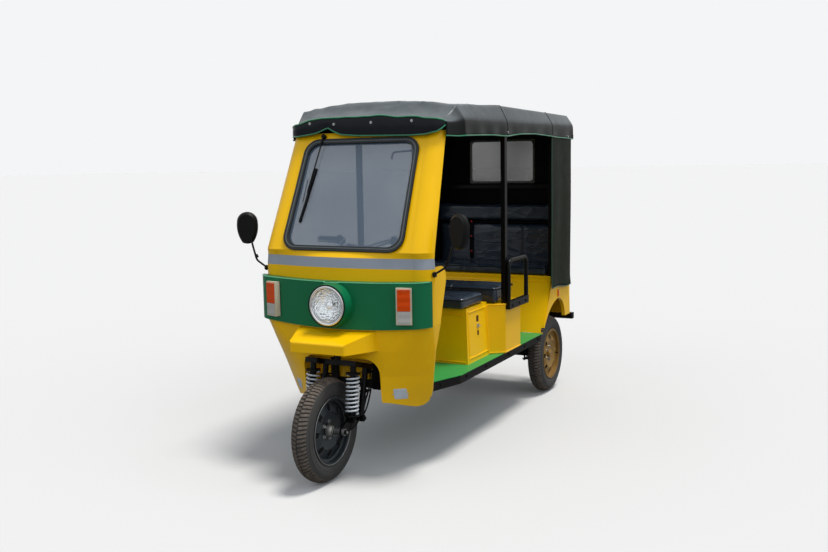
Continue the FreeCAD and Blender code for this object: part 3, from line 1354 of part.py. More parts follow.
def canopy_frame():
    pieces = []
    x0 = POST_X
    x1 = POST_X + POST_W
    for side in (-1, 1):
        a, b = sorted((side * x0, side * x1))
        pieces.append(box(a, b, RAIL_BEND_Y, TOP_RAIL_REAR, RAIL_LOW, RAIL_LOW + TOP_RAIL_H))
        drawn = [(side * x1, RAIL_BEND_Y + 1.0), (side * x0, RAIL_BEND_Y + 1.0),
                 (side * (x0 - RAIL_DRAW), TOP_RAIL_FRONT), (side * (x1 - RAIL_DRAW), TOP_RAIL_FRONT)]
        pieces.append(slab_z(drawn, RAIL_LOW, RAIL_LOW + TOP_RAIL_H))
        pieces.append(box(a, b, POST_Y, POST_Y + POST_D, BENCH_TOP, RAIL_LOW + 1.0))
        pieces.append(box(a, b, REAR_POST_Y, REAR_POST_Y + POST_W, SEAT_TOP, RAIL_LOW + 1.0))
        pieces.append(box(a, b, TOP_RAIL_REAR - POST_W, TOP_RAIL_REAR, SEAT_TOP, RAIL_LOW + 1.0))
    for y, half in ((TOP_RAIL_FRONT, x0 - RAIL_DRAW + 2.0), (TOP_RAIL_REAR - POST_W, x0 + 1.0)):
        pieces.append(box(-half, half, y, y + POST_W, RAIL_LOW, RAIL_LOW + TOP_RAIL_H))
    for z in (1130.0, 1330.0):
        pieces.append(box(-x0 - 1.0, x0 + 1.0, TOP_RAIL_REAR - POST_W + 2.0, TOP_RAIL_REAR - 2.0, z, z + POST_W))
    pieces += [bow(y) for y in BOW_YS]
    frame = fused(pieces)
    return frame.cut(body_solid(FRAME_SECTIONS, 470.0).cut(box(-600, 600, 0, 800, 0, 1600)))


def side_curtain():
    return box(CURTAIN_X, CURTAIN_X + CURTAIN_T, CURTAIN_FRONT, CURTAIN_REAR - CANOPY_T, CURTAIN_LOW, CURTAIN_TOP)


def rear_curtain():
    """Rear cloth with the frame of its clear window."""
    half = REAR_CURTAIN_HALF_W
    y = REAR_CURTAIN_Y
    sheet = box(-half, half, y, y + CURTAIN_T, SEAT_TOP, CURTAIN_TOP + 18.0)
    hole = box(-WINDOW_HALF_W, WINDOW_HALF_W, y - 1.0, y + CURTAIN_T + 1.0, WINDOW_LOW, WINDOW_HIGH - 20.0)
    corners = [e for e in hole.Edges if abs(e.tangentAt(e.FirstParameter).y) > 0.99]
    return sheet.cut(hole.makeFillet(24.0, corners))


def rear_window():
    y = REAR_CURTAIN_Y - WINDOW_T
    return box(-WINDOW_HALF_W - WINDOW_HEM, WINDOW_HALF_W + WINDOW_HEM, y, REAR_CURTAIN_Y,
               WINDOW_LOW - WINDOW_HEM, WINDOW_HIGH - 20.0 + WINDOW_HEM)


def armrest_loop():
    """Tube loop beside the bench with the flat bar that bolts it to the box."""
    x = LOOP_X
    path = [(x, LOOP_FRONT, LOOP_LOW), (x, LOOP_FRONT, LOOP_TOP), (x, LOOP_REAR, LOOP_TOP), (x, LOOP_REAR, LOOP_LOW)]
    tube = round_tube(path, [0, LOOP_ROUND, LOOP_ROUND, 0], LOOP_R)
    plate = box(x - LOOP_R, x + LOOP_R, LOOP_FRONT - LOOP_R, LOOP_REAR + LOOP_R, LOOP_LOW - LOOP_PLATE_H / 2.0,
                LOOP_LOW + LOOP_PLATE_H / 2.0)
    return fused([tube, plate])


def tail_lamp():
    z0 = TAIL_Z - TAIL_H / 2.0
    y0 = REAR_TOP_Y - 4.0
    lamp = box(TAIL_X - TAIL_W / 2.0, TAIL_X + TAIL_W / 2.0, y0, REAR_LOW_Y + TAIL_D, z0, z0 + TAIL_H)
    inside = slab_x(((REAR_LOW_Y, REAR_LOW_Z), (REAR_TOP_Y, SEAT_TOP), (REAR_TOP_Y - 60.0, SEAT_TOP),
                     (REAR_LOW_Y - 60.0, REAR_LOW_Z)), -500, 500)
    lamp = largest(lamp.cut(inside))
    back = [e for e in lamp.Edges if e.CenterOfMass.y > REAR_LOW_Y + TAIL_D - 1]
    return lamp.makeFillet(8.0, back)


def model():
    """Every piece by name."""
    right_centre = (-REAR_WHEEL_X, WHEELBASE, TYRE_R)
    back_rear = TOP_RAIL_REAR - POST_W
    split = 1.0 - AMBER_SHARE
    lenses = [indicator_lens(split + LENS_SPLIT, 1.0, 5.0), indicator_lens(0.0, split, 4.0)]
    back_pads = [
        cushion(BACK_PAD_HALF_W, BACK_PAD_FRONT, back_rear, SEAT_TOP + 4.0, BACK_PAD_TOP),
        cushion(BACK_PAD_HALF_W, ROLL_FRONT, back_rear, ROLL_LOW, ROLL_TOP)]
    return {
        "chassis_frame": chassis(),
        "leaf_springs": Part.makeCompound([leaf_pack(1), leaf_pack(-1)]),
        "rear_axle": rear_axle(),
        "drive_motor": drive_motor(),
        "floor_pan": floor_pan(),
        "leg_shield": leg_shield(),
        "wheel_housing": wheel_housing(),
        "nose_shelf": nose_shelf(),
        "front_band": front_band(),
        "windscreen_frame": windscreen_frame(),
        "windscreen_gasket": windscreen_gasket(),
        "windscreen_glass": windscreen_glass(),
        "wiper": wiper(),
        "dashboard": dashboard(),
        "brake_pedal": pedal(),
        "headlamp_bezel": headlamp_bezel(),
        "headlamp_bowl": headlamp_bowl(),
        "headlamp_lens": headlamp_lens(),
        "indicator_housings": pair(indicator_housing()),
        "indicator_lenses": Part.makeCompound(lenses + [mirrored(lens) for lens in lenses]),
        "mirrors": pair(mirror()),
        "driver_seat_box": driver_box(),
        "driver_cushion": cushion(DRIVER_BOX_TOP_HALF_W + DRIVER_PAD_OVERHANG, DRIVER_PAD_FRONT, DRIVER_PAD_REAR, DRIVER_BOX_TOP, DRIVER_PAD_TOP),
        "bench_box": bench_box(),
        "bench_cushion": cushion(BENCH_PAD_HALF_W, BENCH_PAD_FRONT, BENCH_PAD_REAR, BENCH_TOP, BENCH_PAD_TOP),
        "battery_block": battery(),
        "rear_fenders": pair(fender()),
        "rear_tub": rear_tub(),
        "rear_cushion": cushion(REAR_PAD_HALF_W, REAR_PAD_FRONT, REAR_PAD_REAR, SEAT_TOP, REAR_PAD_TOP),
        "rear_backrest": Part.makeCompound(back_pads),
        "canopy_frame": canopy_frame(),
        "canopy_cover": canopy_cover(),
        "curtains": Part.makeCompound([side_curtain(), mirrored(side_curtain()), rear_curtain()]),
        "rear_window": rear_window(),
        "armrest_loops": pair(armrest_loop()),
        "tail_lamps": pair(tail_lamp()),
        "front_fork": front_fork(),
        "fork_links": Part.makeCompound([fork_link(1), fork_link(-1)]),
        "fork_dampers": pair(damper()),
        "fork_springs": pair(spring_coil()),
        "front_axle": front_axle(),
        "handlebar": handlebar(),
        "handlebar_grips": pair(grip()),
        "front_tyre": tyre(FRONT_CENTRE),
        "front_rim": fused([rim(FRONT_CENTRE, 1, FRONT_DISC_CROWN), front_hub(FRONT_CENTRE)]),
        "rear_left_tyre": tyre(REAR_CENTRE),
        "rear_left_rim": fused([rim(REAR_CENTRE, 1, REAR_DISC_CROWN), rear_hub(REAR_CENTRE, 1)]),
        "rear_right_tyre": tyre(right_centre),
        "rear_right_rim": fused([rim(right_centre, -1, REAR_DISC_CROWN), rear_hub(right_centre, -1)]),
    }


def main():
    os.makedirs("parts", exist_ok=True)
    for name, shape in model().items():
        shape.translate(V(0, -Y_MIDDLE, 0))
        shape.exportStep("parts/" + name + ".step")
        print(name, len(shape.Solids), "solids", round(shape.Volume / 1e6, 3), "litres", shape.isValid())


main()
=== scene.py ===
"""Looks of a three-wheeled passenger rickshaw: finishes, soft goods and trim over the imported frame."""

import json
import logging
import math
from contextlib import contextmanager
from dataclasses import dataclass, field, replace
from enum import Enum
from typing import Iterable, Iterator, Optional, Sequence

import bmesh
import bpy
from mathutils import Matrix, Vector, noise
from mathutils.bvhtree import BVHTree

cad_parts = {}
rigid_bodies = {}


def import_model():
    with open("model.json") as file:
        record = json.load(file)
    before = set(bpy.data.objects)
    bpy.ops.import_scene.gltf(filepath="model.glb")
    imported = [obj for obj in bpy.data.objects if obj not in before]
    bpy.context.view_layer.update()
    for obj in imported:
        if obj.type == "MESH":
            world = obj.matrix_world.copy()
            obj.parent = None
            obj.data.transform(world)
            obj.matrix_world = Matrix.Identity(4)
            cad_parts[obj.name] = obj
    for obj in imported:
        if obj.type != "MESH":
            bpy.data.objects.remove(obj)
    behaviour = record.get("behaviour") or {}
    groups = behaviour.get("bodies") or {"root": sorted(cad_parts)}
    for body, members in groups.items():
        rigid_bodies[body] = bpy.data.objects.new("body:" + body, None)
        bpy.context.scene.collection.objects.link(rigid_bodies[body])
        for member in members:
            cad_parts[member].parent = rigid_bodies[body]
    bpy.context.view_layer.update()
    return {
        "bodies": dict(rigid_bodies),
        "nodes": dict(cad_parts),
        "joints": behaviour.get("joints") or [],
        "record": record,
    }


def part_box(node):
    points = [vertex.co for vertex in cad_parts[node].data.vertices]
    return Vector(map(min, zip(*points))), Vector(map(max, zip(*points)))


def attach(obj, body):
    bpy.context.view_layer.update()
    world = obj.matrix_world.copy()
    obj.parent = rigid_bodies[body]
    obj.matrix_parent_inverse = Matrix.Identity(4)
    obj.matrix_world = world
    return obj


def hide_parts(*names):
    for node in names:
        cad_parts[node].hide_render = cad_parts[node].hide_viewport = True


log = logging.getLogger("rickshaw")

Point = tuple[float, float, float]
Pair = tuple[float, float]
Spot = tuple[Vector, Vector]
Mesh = bpy.types.Mesh
Thing = bpy.types.Object
Tree = bpy.types.NodeTree
Node = bpy.types.Node
Socket = bpy.types.NodeSocket

LEFT = Vector((1.0, 0.0, 0.0))
BACK = Vector((0.0, 1.0, 0.0))
UP = Vector((0.0, 0.0, 1.0))

# Sizes are in millimetres and count along y from the front axle, as the real one is measured.
ORIGIN_Y = 1093.0
WHEELBASE = 2122.0
TYRE_R = 250.0
REAR_WHEEL_X = 375.0
# Points closer than this, in metres, are one
MERGE = 1e-6


def put(x: float, y: float, z: float) -> Vector:
    """Turns millimetres, with y counted rearwards from the front axle, into the frame's metres."""
    return Vector((x, y - ORIGIN_Y, z)) / 1000.0


def linear(colour: str, alpha: float = 1.0) -> tuple[float, float, float, float]:
    """Turns an sRGB hex colour into linear channels.

    Args:
        colour: Six hex digits after a hash.
        alpha: Opacity kept as it is.

    Returns:
        Linear red, green, blue and alpha.
    """
    channels = [int(colour[i:i + 2], 16) / 255.0 for i in (1, 3, 5)]
    bent = [c / 12.92 if c <= 0.04045 else ((c + 0.055) / 1.055) ** 2.4 for c in channels]
    return (bent[0], bent[1], bent[2], alpha)


def add(tree: Tree, kind: str, settings: Optional[dict] = None, links: Optional[dict] = None) -> Node:
    """Adds one node to a tree.

    Args:
        tree: Tree that gets the node.
        kind: Blender's name of the node type.
        settings: Values by attribute name, input name or input number.
        links: What feeds each input, by its name or number, as `feed` takes it.

    Returns:
        The new node.
    """
    node = tree.nodes.new(kind)
    for key, value in (settings or {}).items():
        if isinstance(key, str) and hasattr(node, key):
            setattr(node, key, value)
        else:
            node.inputs[key].default_value = value
    feed(tree, node, links or {})
    return node


def feed(tree: Tree, node: Node, links: dict) -> None:
    """Links sockets, or the first outputs of nodes, to a node's inputs by name or number."""
    for key, source in links.items():
        tree.links.new(source.outputs[0] if isinstance(source, Node) else source, node.inputs[key])


# Finishes


@dataclass(frozen=True)
class Finish:
    """One finish: a principled surface with constants, and a pattern from its subclass."""

    name: str
    slot: str
    colour: str
    roughness: float = 0.45
    metallic: float = 0.0
    ior: float = 1.5
    specular: float = 0.3
    coat: float = 0.0
    coat_roughness: float = 0.05
    alpha: float = 1.0
    transmission: float = 0.0
    sheen: float = 0.0

    def material(self) -> bpy.types.Material:
        """Gives the finish's material, made on first use."""
        found = bpy.data.materials.get(self.name)
        if found:
            return found
        made = bpy.data.materials.new(self.name)
        made.use_nodes = True
        made.diffuse_color = linear(self.colour)
        tree = made.node_tree
        shader = tree.nodes["Principled BSDF"]
        constants = {
            "Base Color": linear(self.colour), "Roughness": self.roughness, "Metallic": self.metallic,
            "IOR": self.ior, "Specular IOR Level": self.specular, "Coat Weight": self.coat,
            "Coat Roughness": self.coat_roughness, "Alpha": self.alpha,
            "Transmission Weight": self.transmission, "Sheen Weight": self.sheen}
        for key, value in constants.items():
            shader.inputs[key].default_value = value
        self.pattern(tree, shader)
        return made

    def pattern(self, tree: Tree, shader: Node) -> None:
        """Adds what varies over the surface. The plain finish gets a faint grime and a fine texture."""
        self.bumped(tree, shader, self.speckle(tree, 900.0, 2.0), 0.05, 0.0002)
        self.tinted(tree, shader, self.speckle(tree, 14.0, 4.0), 0.86, 0.35, 0.65)

    def speckle(self, tree: Tree, scale: float, detail: float, place: Optional[Socket] = None) -> Socket:
        """Gives a noise value over the surface, with scale in cells to the metre."""
        place = place or add(tree, "ShaderNodeTexCoord").outputs["Object"]
        return add(tree, "ShaderNodeTexNoise", {"Scale": scale, "Detail": detail},
                   {"Vector": place}).outputs["Fac"]

    def tinted(self, tree: Tree, shader: Node, value: Socket, dark: float, low: float, high: float) -> Socket:
        """Varies the colour between its darker shade and itself by a value.

        Args:
            tree: Tree of the material.
            shader: Its principled node.
            value: What drives the change.
            dark: Share of the colour at the low end.
            low: Value where the darker shade ends.
            high: Value where the full colour starts.

        Returns:
            The colour socket.
        """
        full = linear(self.colour)
        ramp = add(tree, "ShaderNodeValToRGB", links={"Fac": value})
        shades = ((low, (full[0] * dark, full[1] * dark, full[2] * dark, 1.0)), (high, full))
        for stop, (position, shade) in zip(ramp.color_ramp.elements, shades):
            stop.position = position
            stop.color = shade
        feed(tree, shader, {"Base Color": ramp})
        return ramp.outputs["Color"]

    def bumped(self, tree: Tree, shader: Node, height: Socket, strength: float, distance: float,
               into: str = "Normal", over: Optional[Node] = None) -> Node:
        """Feeds a height into a normal input, on top of another bump if one is given."""
        links = {"Height": height} | ({"Normal": over} if over else {})
        bump = add(tree, "ShaderNodeBump", {"Strength": strength, "Distance": distance}, links)
        feed(tree, shader, {into: bump})
        return bump


@dataclass(frozen=True)
class BodyPaint(Finish):
    """Gelcoat sprayed on moulded glass fibre: glossy, faintly wavy, with a little road dust low down."""

    dust: str = "#8A7A5A"
    dust_top: float = 0.55
    dust_most: float = 0.16
    arch_shade_r: float = 0.0
    arch_shade_x: float = 0.448
    stripe: str = ""
    stripe_low: float = 1.011
    stripe_high: float = 1.060

    def pattern(self, tree: Tree, shader: Node) -> None:
        """Adds waviness of about 60 mm, orange peel of 3 mm, low dust, the stripe and a painted shade inside
        the arches.
        """
        place = add(tree, "ShaderNodeTexCoord").outputs["Object"]
        colour = self.tinted(tree, shader, self.speckle(tree, 3.0, 3.0), 0.95, 0.35, 0.65)
        split = add(tree, "ShaderNodeSeparateXYZ", links={"Vector": place})
        height = split.outputs["Z"]
        low = add(tree, "ShaderNodeMapRange", {"From Min": self.dust_top, "From Max": 0.36,
                                               "To Min": 0.0, "To Max": self.dust_most}, {"Value": height})
        grime = self.speckle(tree, 9.0, 4.0)
        share = add(tree, "ShaderNodeMath", {"operation": "MULTIPLY"}, {0: low, 1: grime})
        dusty = add(tree, "ShaderNodeMix", {"data_type": "RGBA", 7: linear(self.dust)},
                    {0: share, 6: colour})
        last = dusty.outputs[2]
        if self.stripe:
            over = add(tree, "ShaderNodeMath", {"operation": "GREATER_THAN", 1: self.stripe_low}, {0: height})
            under = add(tree, "ShaderNodeMath", {"operation": "LESS_THAN", 1: self.stripe_high}, {0: height})
            both = add(tree, "ShaderNodeMath", {"operation": "MULTIPLY"}, {0: over, 1: under})
            taped = add(tree, "ShaderNodeMix", {"data_type": "RGBA", 7: linear(self.stripe)},
                        {0: both, 6: last})
            last = taped.outputs[2]
        # Painted shade: near black inside the rear wheel arches, where the wells lie in shade
        if self.arch_shade_r:
            last = self.painted_arch_shade(tree, place, split.outputs["X"], last)
        feed(tree, shader, {"Base Color": last})
        rough = add(tree, "ShaderNodeMapRange",
                    {"To Min": self.roughness - 0.05, "To Max": self.roughness + 0.18},
                    {"Value": grime})
        feed(tree, shader, {"Roughness": rough})
        wave = self.bumped(tree, shader, self.speckle(tree, 16.0, 2.0), 0.25, 0.003)
        self.bumped(tree, shader, self.speckle(tree, 330.0, 2.0), 0.06, 0.0004, over=wave)

    def painted_arch_shade(self, tree: Tree, place: Socket, across: Socket, colour: Socket) -> Socket:
        """Blackens what lies inside the arches, within a radius of the rear axle line, as painted shade of
        the wheel wells.
        """
        flat = add(tree, "ShaderNodeVectorMath", {"operation": "MULTIPLY", 1: (0.0, 1.0, 1.0)}, {0: place})
        axle = put(0.0, WHEELBASE, TYRE_R)
        away = add(tree, "ShaderNodeVectorMath", {"operation": "DISTANCE", 1: tuple(axle)}, {0: flat})
        near = add(tree, "ShaderNodeMath", {"operation": "LESS_THAN", 1: self.arch_shade_r},
                   {0: away.outputs["Value"]})
        out = add(tree, "ShaderNodeMath", {"operation": "ABSOLUTE"}, {0: across})
        inner = add(tree, "ShaderNodeMath", {"operation": "LESS_THAN", 1: self.arch_shade_x}, {0: out})
        both = add(tree, "ShaderNodeMath", {"operation": "MULTIPLY"}, {0: near, 1: inner})
        mix = add(tree, "ShaderNodeMix", {"data_type": "RGBA", 7: linear("#101010")}, {0: both, 6: colour})
        return mix.outputs[2]


@dataclass(frozen=True)
class Tread(Finish):
    """Tyre rubber: carbon black, dull, with a brown bloom of dust in the tread and on the wall."""

    dust: str = "#57504A"

    def pattern(self, tree: Tree, shader: Node) -> None:
        """Adds dust in patches of about 30 mm and a pebbled skin of 1 mm."""
        colour = self.tinted(tree, shader, self.speckle(tree, 30.0, 4.0), 0.7, 0.3, 0.7)
        share = add(tree, "ShaderNodeMapRange", {"From Min": 0.45, "From Max": 0.8, "To Max": 0.35},
                    {"Value": self.speckle(tree, 60.0, 6.0)})
        dusty = add(tree, "ShaderNodeMix", {"data_type": "RGBA", 7: linear(self.dust)},
                    {0: share, 6: colour})
        feed(tree, shader, {"Base Color": dusty.outputs[2]})
        self.bumped(tree, shader, self.speckle(tree, 700.0, 3.0), 0.25, 0.0005)


@dataclass(frozen=True)
class Plated(Finish):
    """Bright metal: a clean mirror with faint smears, or a brushed or cast face."""

    grain: float = 400.0
    depth: float = 0.0002

    def pattern(self, tree: Tree, shader: Node) -> None:
        """Adds smears in the roughness and a grain in the normal."""
        rough = add(tree, "ShaderNodeMapRange",
                    {"To Min": self.roughness * 0.7, "To Max": self.roughness * 1.6},
                    {"Value": self.speckle(tree, 25.0, 5.0)})
        feed(tree, shader, {"Roughness": rough})
        self.bumped(tree, shader, self.speckle(tree, self.grain, 2.0), 0.12, self.depth)


@dataclass(frozen=True)
class CoatedCloth(Finish):
    """Woven cloth under a vinyl coat: soft folds, a fine weave and a broken shine."""

    thread: float = 1.6
    fold: float = 0.004
    sky_sheen: str = ""

    def pattern(self, tree: Tree, shader: Node) -> None:
        """Adds a weave, drawn 1.6 mm coarse so that it shows, folds of about 90 mm and faded patches."""
        place = add(tree, "ShaderNodeTexCoord").outputs["Object"]
        colour = self.tinted(tree, shader, self.speckle(tree, 6.0, 6.0), 0.72, 0.3, 0.7)
        rough = add(tree, "ShaderNodeMapRange",
                    {"To Min": self.roughness - 0.12, "To Max": self.roughness + 0.14},
                    {"Value": self.speckle(tree, 12.0, 5.0)})
        feed(tree, shader, {"Roughness": rough})
        folds = self.bumped(tree, shader, self.speckle(tree, 11.0, 3.0), 0.5, self.fold)
        weave = add(tree, "ShaderNodeTexVoronoi", {"Scale": 1000.0 / self.thread}, {"Vector": place})
        self.bumped(tree, shader, weave.outputs["Distance"], 0.18, 0.0004, over=folds)
        # Painted sheen: the faces that look up take a paler colour, which stands in for the sky's shine
        if self.sky_sheen:
            self.painted_sky_sheen(tree, shader, colour)

    def painted_sky_sheen(self, tree: Tree, shader: Node, colour: Socket) -> None:
        """Paints a paler sheen colour, in patches, on the faces that look up: a painted highlight of the sky
        on the coat.
        """
        facing = add(tree, "ShaderNodeNewGeometry").outputs["Normal"]
        rise = add(tree, "ShaderNodeSeparateXYZ", links={"Vector": facing}).outputs["Z"]
        share = add(tree, "ShaderNodeMapRange", {"From Min": 0.22, "From Max": 0.62}, {"Value": rise})
        patch = add(tree, "ShaderNodeMapRange",
                    {"From Min": 0.3, "From Max": 0.7, "To Min": 0.72, "To Max": 1.0},
                    {"Value": self.speckle(tree, 14.0, 6.0)})
        both = add(tree, "ShaderNodeMath", {"operation": "MULTIPLY"}, {0: share, 1: patch})
        mix = add(tree, "ShaderNodeMix", {"data_type": "RGBA", 7: linear(self.sky_sheen)},
                  {0: both, 6: colour})
        feed(tree, shader, {"Base Color": mix.outputs[2]})


@dataclass(frozen=True)
class FilmedVinyl(Finish):
    """Seat vinyl still in its clear wrapping: grained below, with sharp shiny creases above."""

    wrinkle: float = 5.0

    def pattern(self, tree: Tree, shader: Node) -> None:
        """Adds leather grain of 2 mm below, and in the coat wrinkles 3 mm wide that run along the seat."""
        place = add(tree, "ShaderNodeTexCoord").outputs["Object"]
        self.tinted(tree, shader, self.speckle(tree, 7.0, 3.0), 0.78, 0.3, 0.7)
        grain = add(tree, "ShaderNodeTexVoronoi", {"Scale": 480.0}, {"Vector": place})
        self.bumped(tree, shader, grain.outputs["Distance"], 0.2, 0.0004)
        slant = add(tree, "ShaderNodeMapping", {"Rotation": (0.3, 0.25, 0.2), "Scale": (1.0, 2.6, 3.4)},
                    {"Vector": place})
        flow = self.speckle(tree, self.wrinkle, 2.0, slant.outputs["Vector"])
        off = add(tree, "ShaderNodeMath", {"operation": "SUBTRACT", 1: 0.5}, {0: flow})
        away = add(tree, "ShaderNodeMath", {"operation": "ABSOLUTE"}, {0: off})
        ridge = add(tree, "ShaderNodeMapRange", {"interpolation_type": "SMOOTHSTEP", "From Max": 0.035,
                                                 "To Min": 1.0, "To Max": 0.0}, {"Value": away})
        self.bumped(tree, shader, ridge.outputs["Result"], 0.45, 0.003, into="Coat Normal")


@dataclass(frozen=True)
class Ribbed(Finish):
    """Moulded lens: clear or tinted acrylic with prism ribs behind a smooth face."""

    pitch: float = 6.0
    upright: bool = False

    def pattern(self, tree: Tree, shader: Node) -> None:
        """Adds ribs at the real pitch, lying or upright."""
        place = add(tree, "ShaderNodeTexCoord").outputs["Object"]
        wave = add(tree, "ShaderNodeTexWave", {
            "bands_direction": "X" if self.upright else "Z", "wave_profile": "SIN",
            "Scale": 1000.0 / self.pitch / 20.0, "Distortion": 0.0}, {"Vector": place})
        self.bumped(tree, shader, wave.outputs["Fac"], 0.6, 0.002)


@dataclass(frozen=True)
class SplitLens(Ribbed):
    """Lens moulded in bands of colour, one over the other."""

    bands: tuple[tuple[float, str], ...] = ()

    def pattern(self, tree: Tree, shader: Node) -> None:
        """Adds the ribs, and a new colour above each band's height in metres."""
        super().pattern(tree, shader)
        place = add(tree, "ShaderNodeTexCoord").outputs["Object"]
        height = add(tree, "ShaderNodeSeparateXYZ", links={"Vector": place}).outputs["Z"]
        last = None
        for low, colour in self.bands:
            over = add(tree, "ShaderNodeMath", {"operation": "GREATER_THAN", 1: low}, {0: height})
            links = {0: over} | ({6: last} if last else {})
            band = add(tree, "ShaderNodeMix",
                       {"data_type": "RGBA", 6: linear(self.colour), 7: linear(colour)}, links)
            last = band.outputs[2]
        feed(tree, shader, {"Base Color": last})


@dataclass(frozen=True)
class Faceted(Finish):
    """Mirror-coated bowl pressed in flat facets, which break up what it reflects."""

    facet: float = 13.0

    def pattern(self, tree: Tree, shader: Node) -> None:
        """Adds facets of about 13 mm, each leaning its own way."""
        place = add(tree, "ShaderNodeTexCoord").outputs["Object"]
        cells = add(tree, "ShaderNodeTexVoronoi", {"Scale": 1000.0 / self.facet, "Randomness": 0.6},
                    {"Vector": place})
        self.bumped(tree, shader, cells.outputs["Distance"], 0.7, 0.006)


@dataclass(frozen=True)
class Pane(Finish):
    """Sheet glass or clear film: tinted, with a haze of wiped dust that catches light."""

    haze: float = 0.12

    def pattern(self, tree: Tree, shader: Node) -> None:
        """Adds patchy haze to the opacity and long ripples to the normal."""
        veil = add(tree, "ShaderNodeMapRange", {"From Min": 0.3, "From Max": 0.8, "To Min": self.alpha,
                                                "To Max": self.alpha + self.haze},
                   {"Value": self.speckle(tree, 2.5, 1.0)})
        feed(tree, shader, {"Alpha": veil})
        self.bumped(tree, shader, self.speckle(tree, 6.0, 1.0), 0.08, 0.002)


@dataclass(frozen=True)
class DialFace(Finish):
    """Printed gauge face; its ticks and needle are a piece of their own."""

    def pattern(self, tree: Tree, shader: Node) -> None:
        """Keeps the face even, with a paper-fine texture."""
        self.bumped(tree, shader, self.speckle(tree, 1500.0, 1.0), 0.05, 0.0001)


@dataclass(frozen=True)
class Backdrop(Finish):
    """Matt studio paper: one even tone, so that only the vehicle's shadow marks it."""

    bounce: str = "#6E6E6C"
    mirrored: float = 0.2

    def pattern(self, tree: Tree, shader: Node) -> None:
        """Leaves the paper plain, and lets less of its light bounce up than the eye sees of it."""
        path = add(tree, "ShaderNodeLightPath")
        first = add(tree, "ShaderNodeMath", {"operation": "MAXIMUM"},
                    {0: path.outputs["Is Camera Ray"], 1: path.outputs["Is Transmission Ray"]})
        shine = add(tree, "ShaderNodeMath", {"operation": "MULTIPLY", 1: self.mirrored},
                    {0: path.outputs["Is Glossy Ray"]})
        seen = add(tree, "ShaderNodeMath", {"operation": "MAXIMUM"}, {0: first, 1: shine})
        mix = add(tree, "ShaderNodeMix",
                  {"data_type": "RGBA", 6: linear(self.bounce), 7: linear(self.colour)},
                  {0: seen})
        feed(tree, shader, {"Base Color": mix.outputs[2]})


# Gelcoat on glass fibre: a clear deep colour under a hard gloss that mirrors the sky softly
YELLOW = BodyPaint("yellow_gelcoat", "yellow_paint", "#FFC803", 0.26, specular=0.22, coat=0.06)
YELLOW_STRIPED = replace(YELLOW, name="yellow_gelcoat_striped", stripe="#9AA3B0")
# This copy paints shade, near black, inside the rear wheel arches
YELLOW_ARCHED = replace(YELLOW, name="yellow_gelcoat_arch_shade", arch_shade_r=0.40)
GREEN = replace(YELLOW, name="green_gelcoat", slot="green_paint", colour="#0E6F47")
# Floor paint on sheet steel: flatter, so the green keeps its colour from above
FLOOR_GREEN = BodyPaint("floor_green_paint", "green_paint", "#229A4A", 0.45, coat=0.1, dust_top=0.5)
# Brushed enamel on tube and sheet: black with a soft broad shine along each edge
BLACK = Finish("black_enamel", "black_paint", "#08090B", 0.38, specular=0.14, coat=0.06)
CHASSIS = Finish("black_chassis_enamel", "black_paint", "#151314", 0.55, specular=0.14)
# Oiled steel: dark, half metal, for springs and pedals
IRON = Finish("oily_dark_steel", "dark_steel", "#202022", 0.5, metallic=0.6)
# Vulcanised rubber: carbon black, dull on the wall and greyed by dust on the crown
TYRE = Tread("tyre_rubber", "tyre_rubber", "#0A0A0B", 0.75, specular=0.005, dust="#191817")
TREAD = Tread("dusty_tread_rubber", "tyre_rubber", "#6B635C", 0.85, specular=0.03, dust="#978D83")
# Stoved enamel on pressed steel: part metal, so the dish picks up light
FRONT_RIM = Plated("dark_grey_rim_enamel", "front_rim_paint", "#3C4246", 0.34, metallic=0.45)
REAR_RIM = Plated("bronze_rim_enamel", "rear_rim_paint", "#9A7A42", 0.34, metallic=0.5)
# Sand-cast aluminium: pale and grainy
HUB = Plated("cast_aluminium", "bright_steel", "#B9B9B6", 0.36, metallic=1.0, grain=600.0, depth=0.0005)
SPRING = Finish("white_spring_enamel", "white_spring_paint", "#D3DCE4", 0.32, coat=0.3)
# Zinc plate: bright but soft; chrome plate: a clean mirror
STEEL = Plated("zinc_plated_steel", "bright_steel", "#B9BABB", 0.32, metallic=1.0)
CHROME = Plated("chrome_plate", "chrome_plate", "#E3E5E8", 0.06, metallic=1.0, depth=0.0001)
# Laminated glass with wiped dust: a blue-grey veil over the dark cab
GLASS = Pane("windscreen_glass", "clear_glass", "#586A7E", 0.03, specular=0.5, alpha=0.66, haze=0.08)
# Soft vinyl window film: greyed and a little milky
FILM = Pane("clear_window_film", "clear_film", "#5C655A", 0.12, specular=0.5, alpha=0.62, haze=0.15)
LAMP_GLASS = Ribbed("fluted_lamp_glass", "clear_glass", "#F2F5F6", 0.02, transmission=0.96, pitch=9.0,
                    upright=True)
MIRROR = Plated("silvered_glass", "chrome_plate", "#EDF0F2", 0.03, metallic=1.0, depth=0.00005)
# Moulded acrylic: deep colour with prism ribs inside a smooth face
CLEAR_LENS = Ribbed("clear_acrylic", "clear_glass", "#D9DDDA", 0.08, transmission=0.35, coat=0.4)
RED = Ribbed("red_acrylic", "red_lens", "#B4120C", 0.1, transmission=0.15, coat=0.4, pitch=5.0)
TWO_TONE = SplitLens("amber_over_clear_acrylic", "amber_lens", "#B9BAB6", 0.2, specular=0.2,
                     bands=((0.8239, "#E04A00"),))
TAIL_LENS = SplitLens("tail_lamp_acrylic", "red_lens", "#D9D8D2", 0.1, transmission=0.05, coat=0.3, pitch=5.0,
                      bands=((0.600, "#DC5608"), (0.645, "#B4120C")))
ORANGE = Ribbed("orange_reflector", "amber_lens", "#E85A10", 0.15, coat=0.3, pitch=4.0)
REFLECTOR = Faceted("vacuum_plated_reflector", "chrome_plate", "#E6E8EA", 0.05, metallic=1.0)
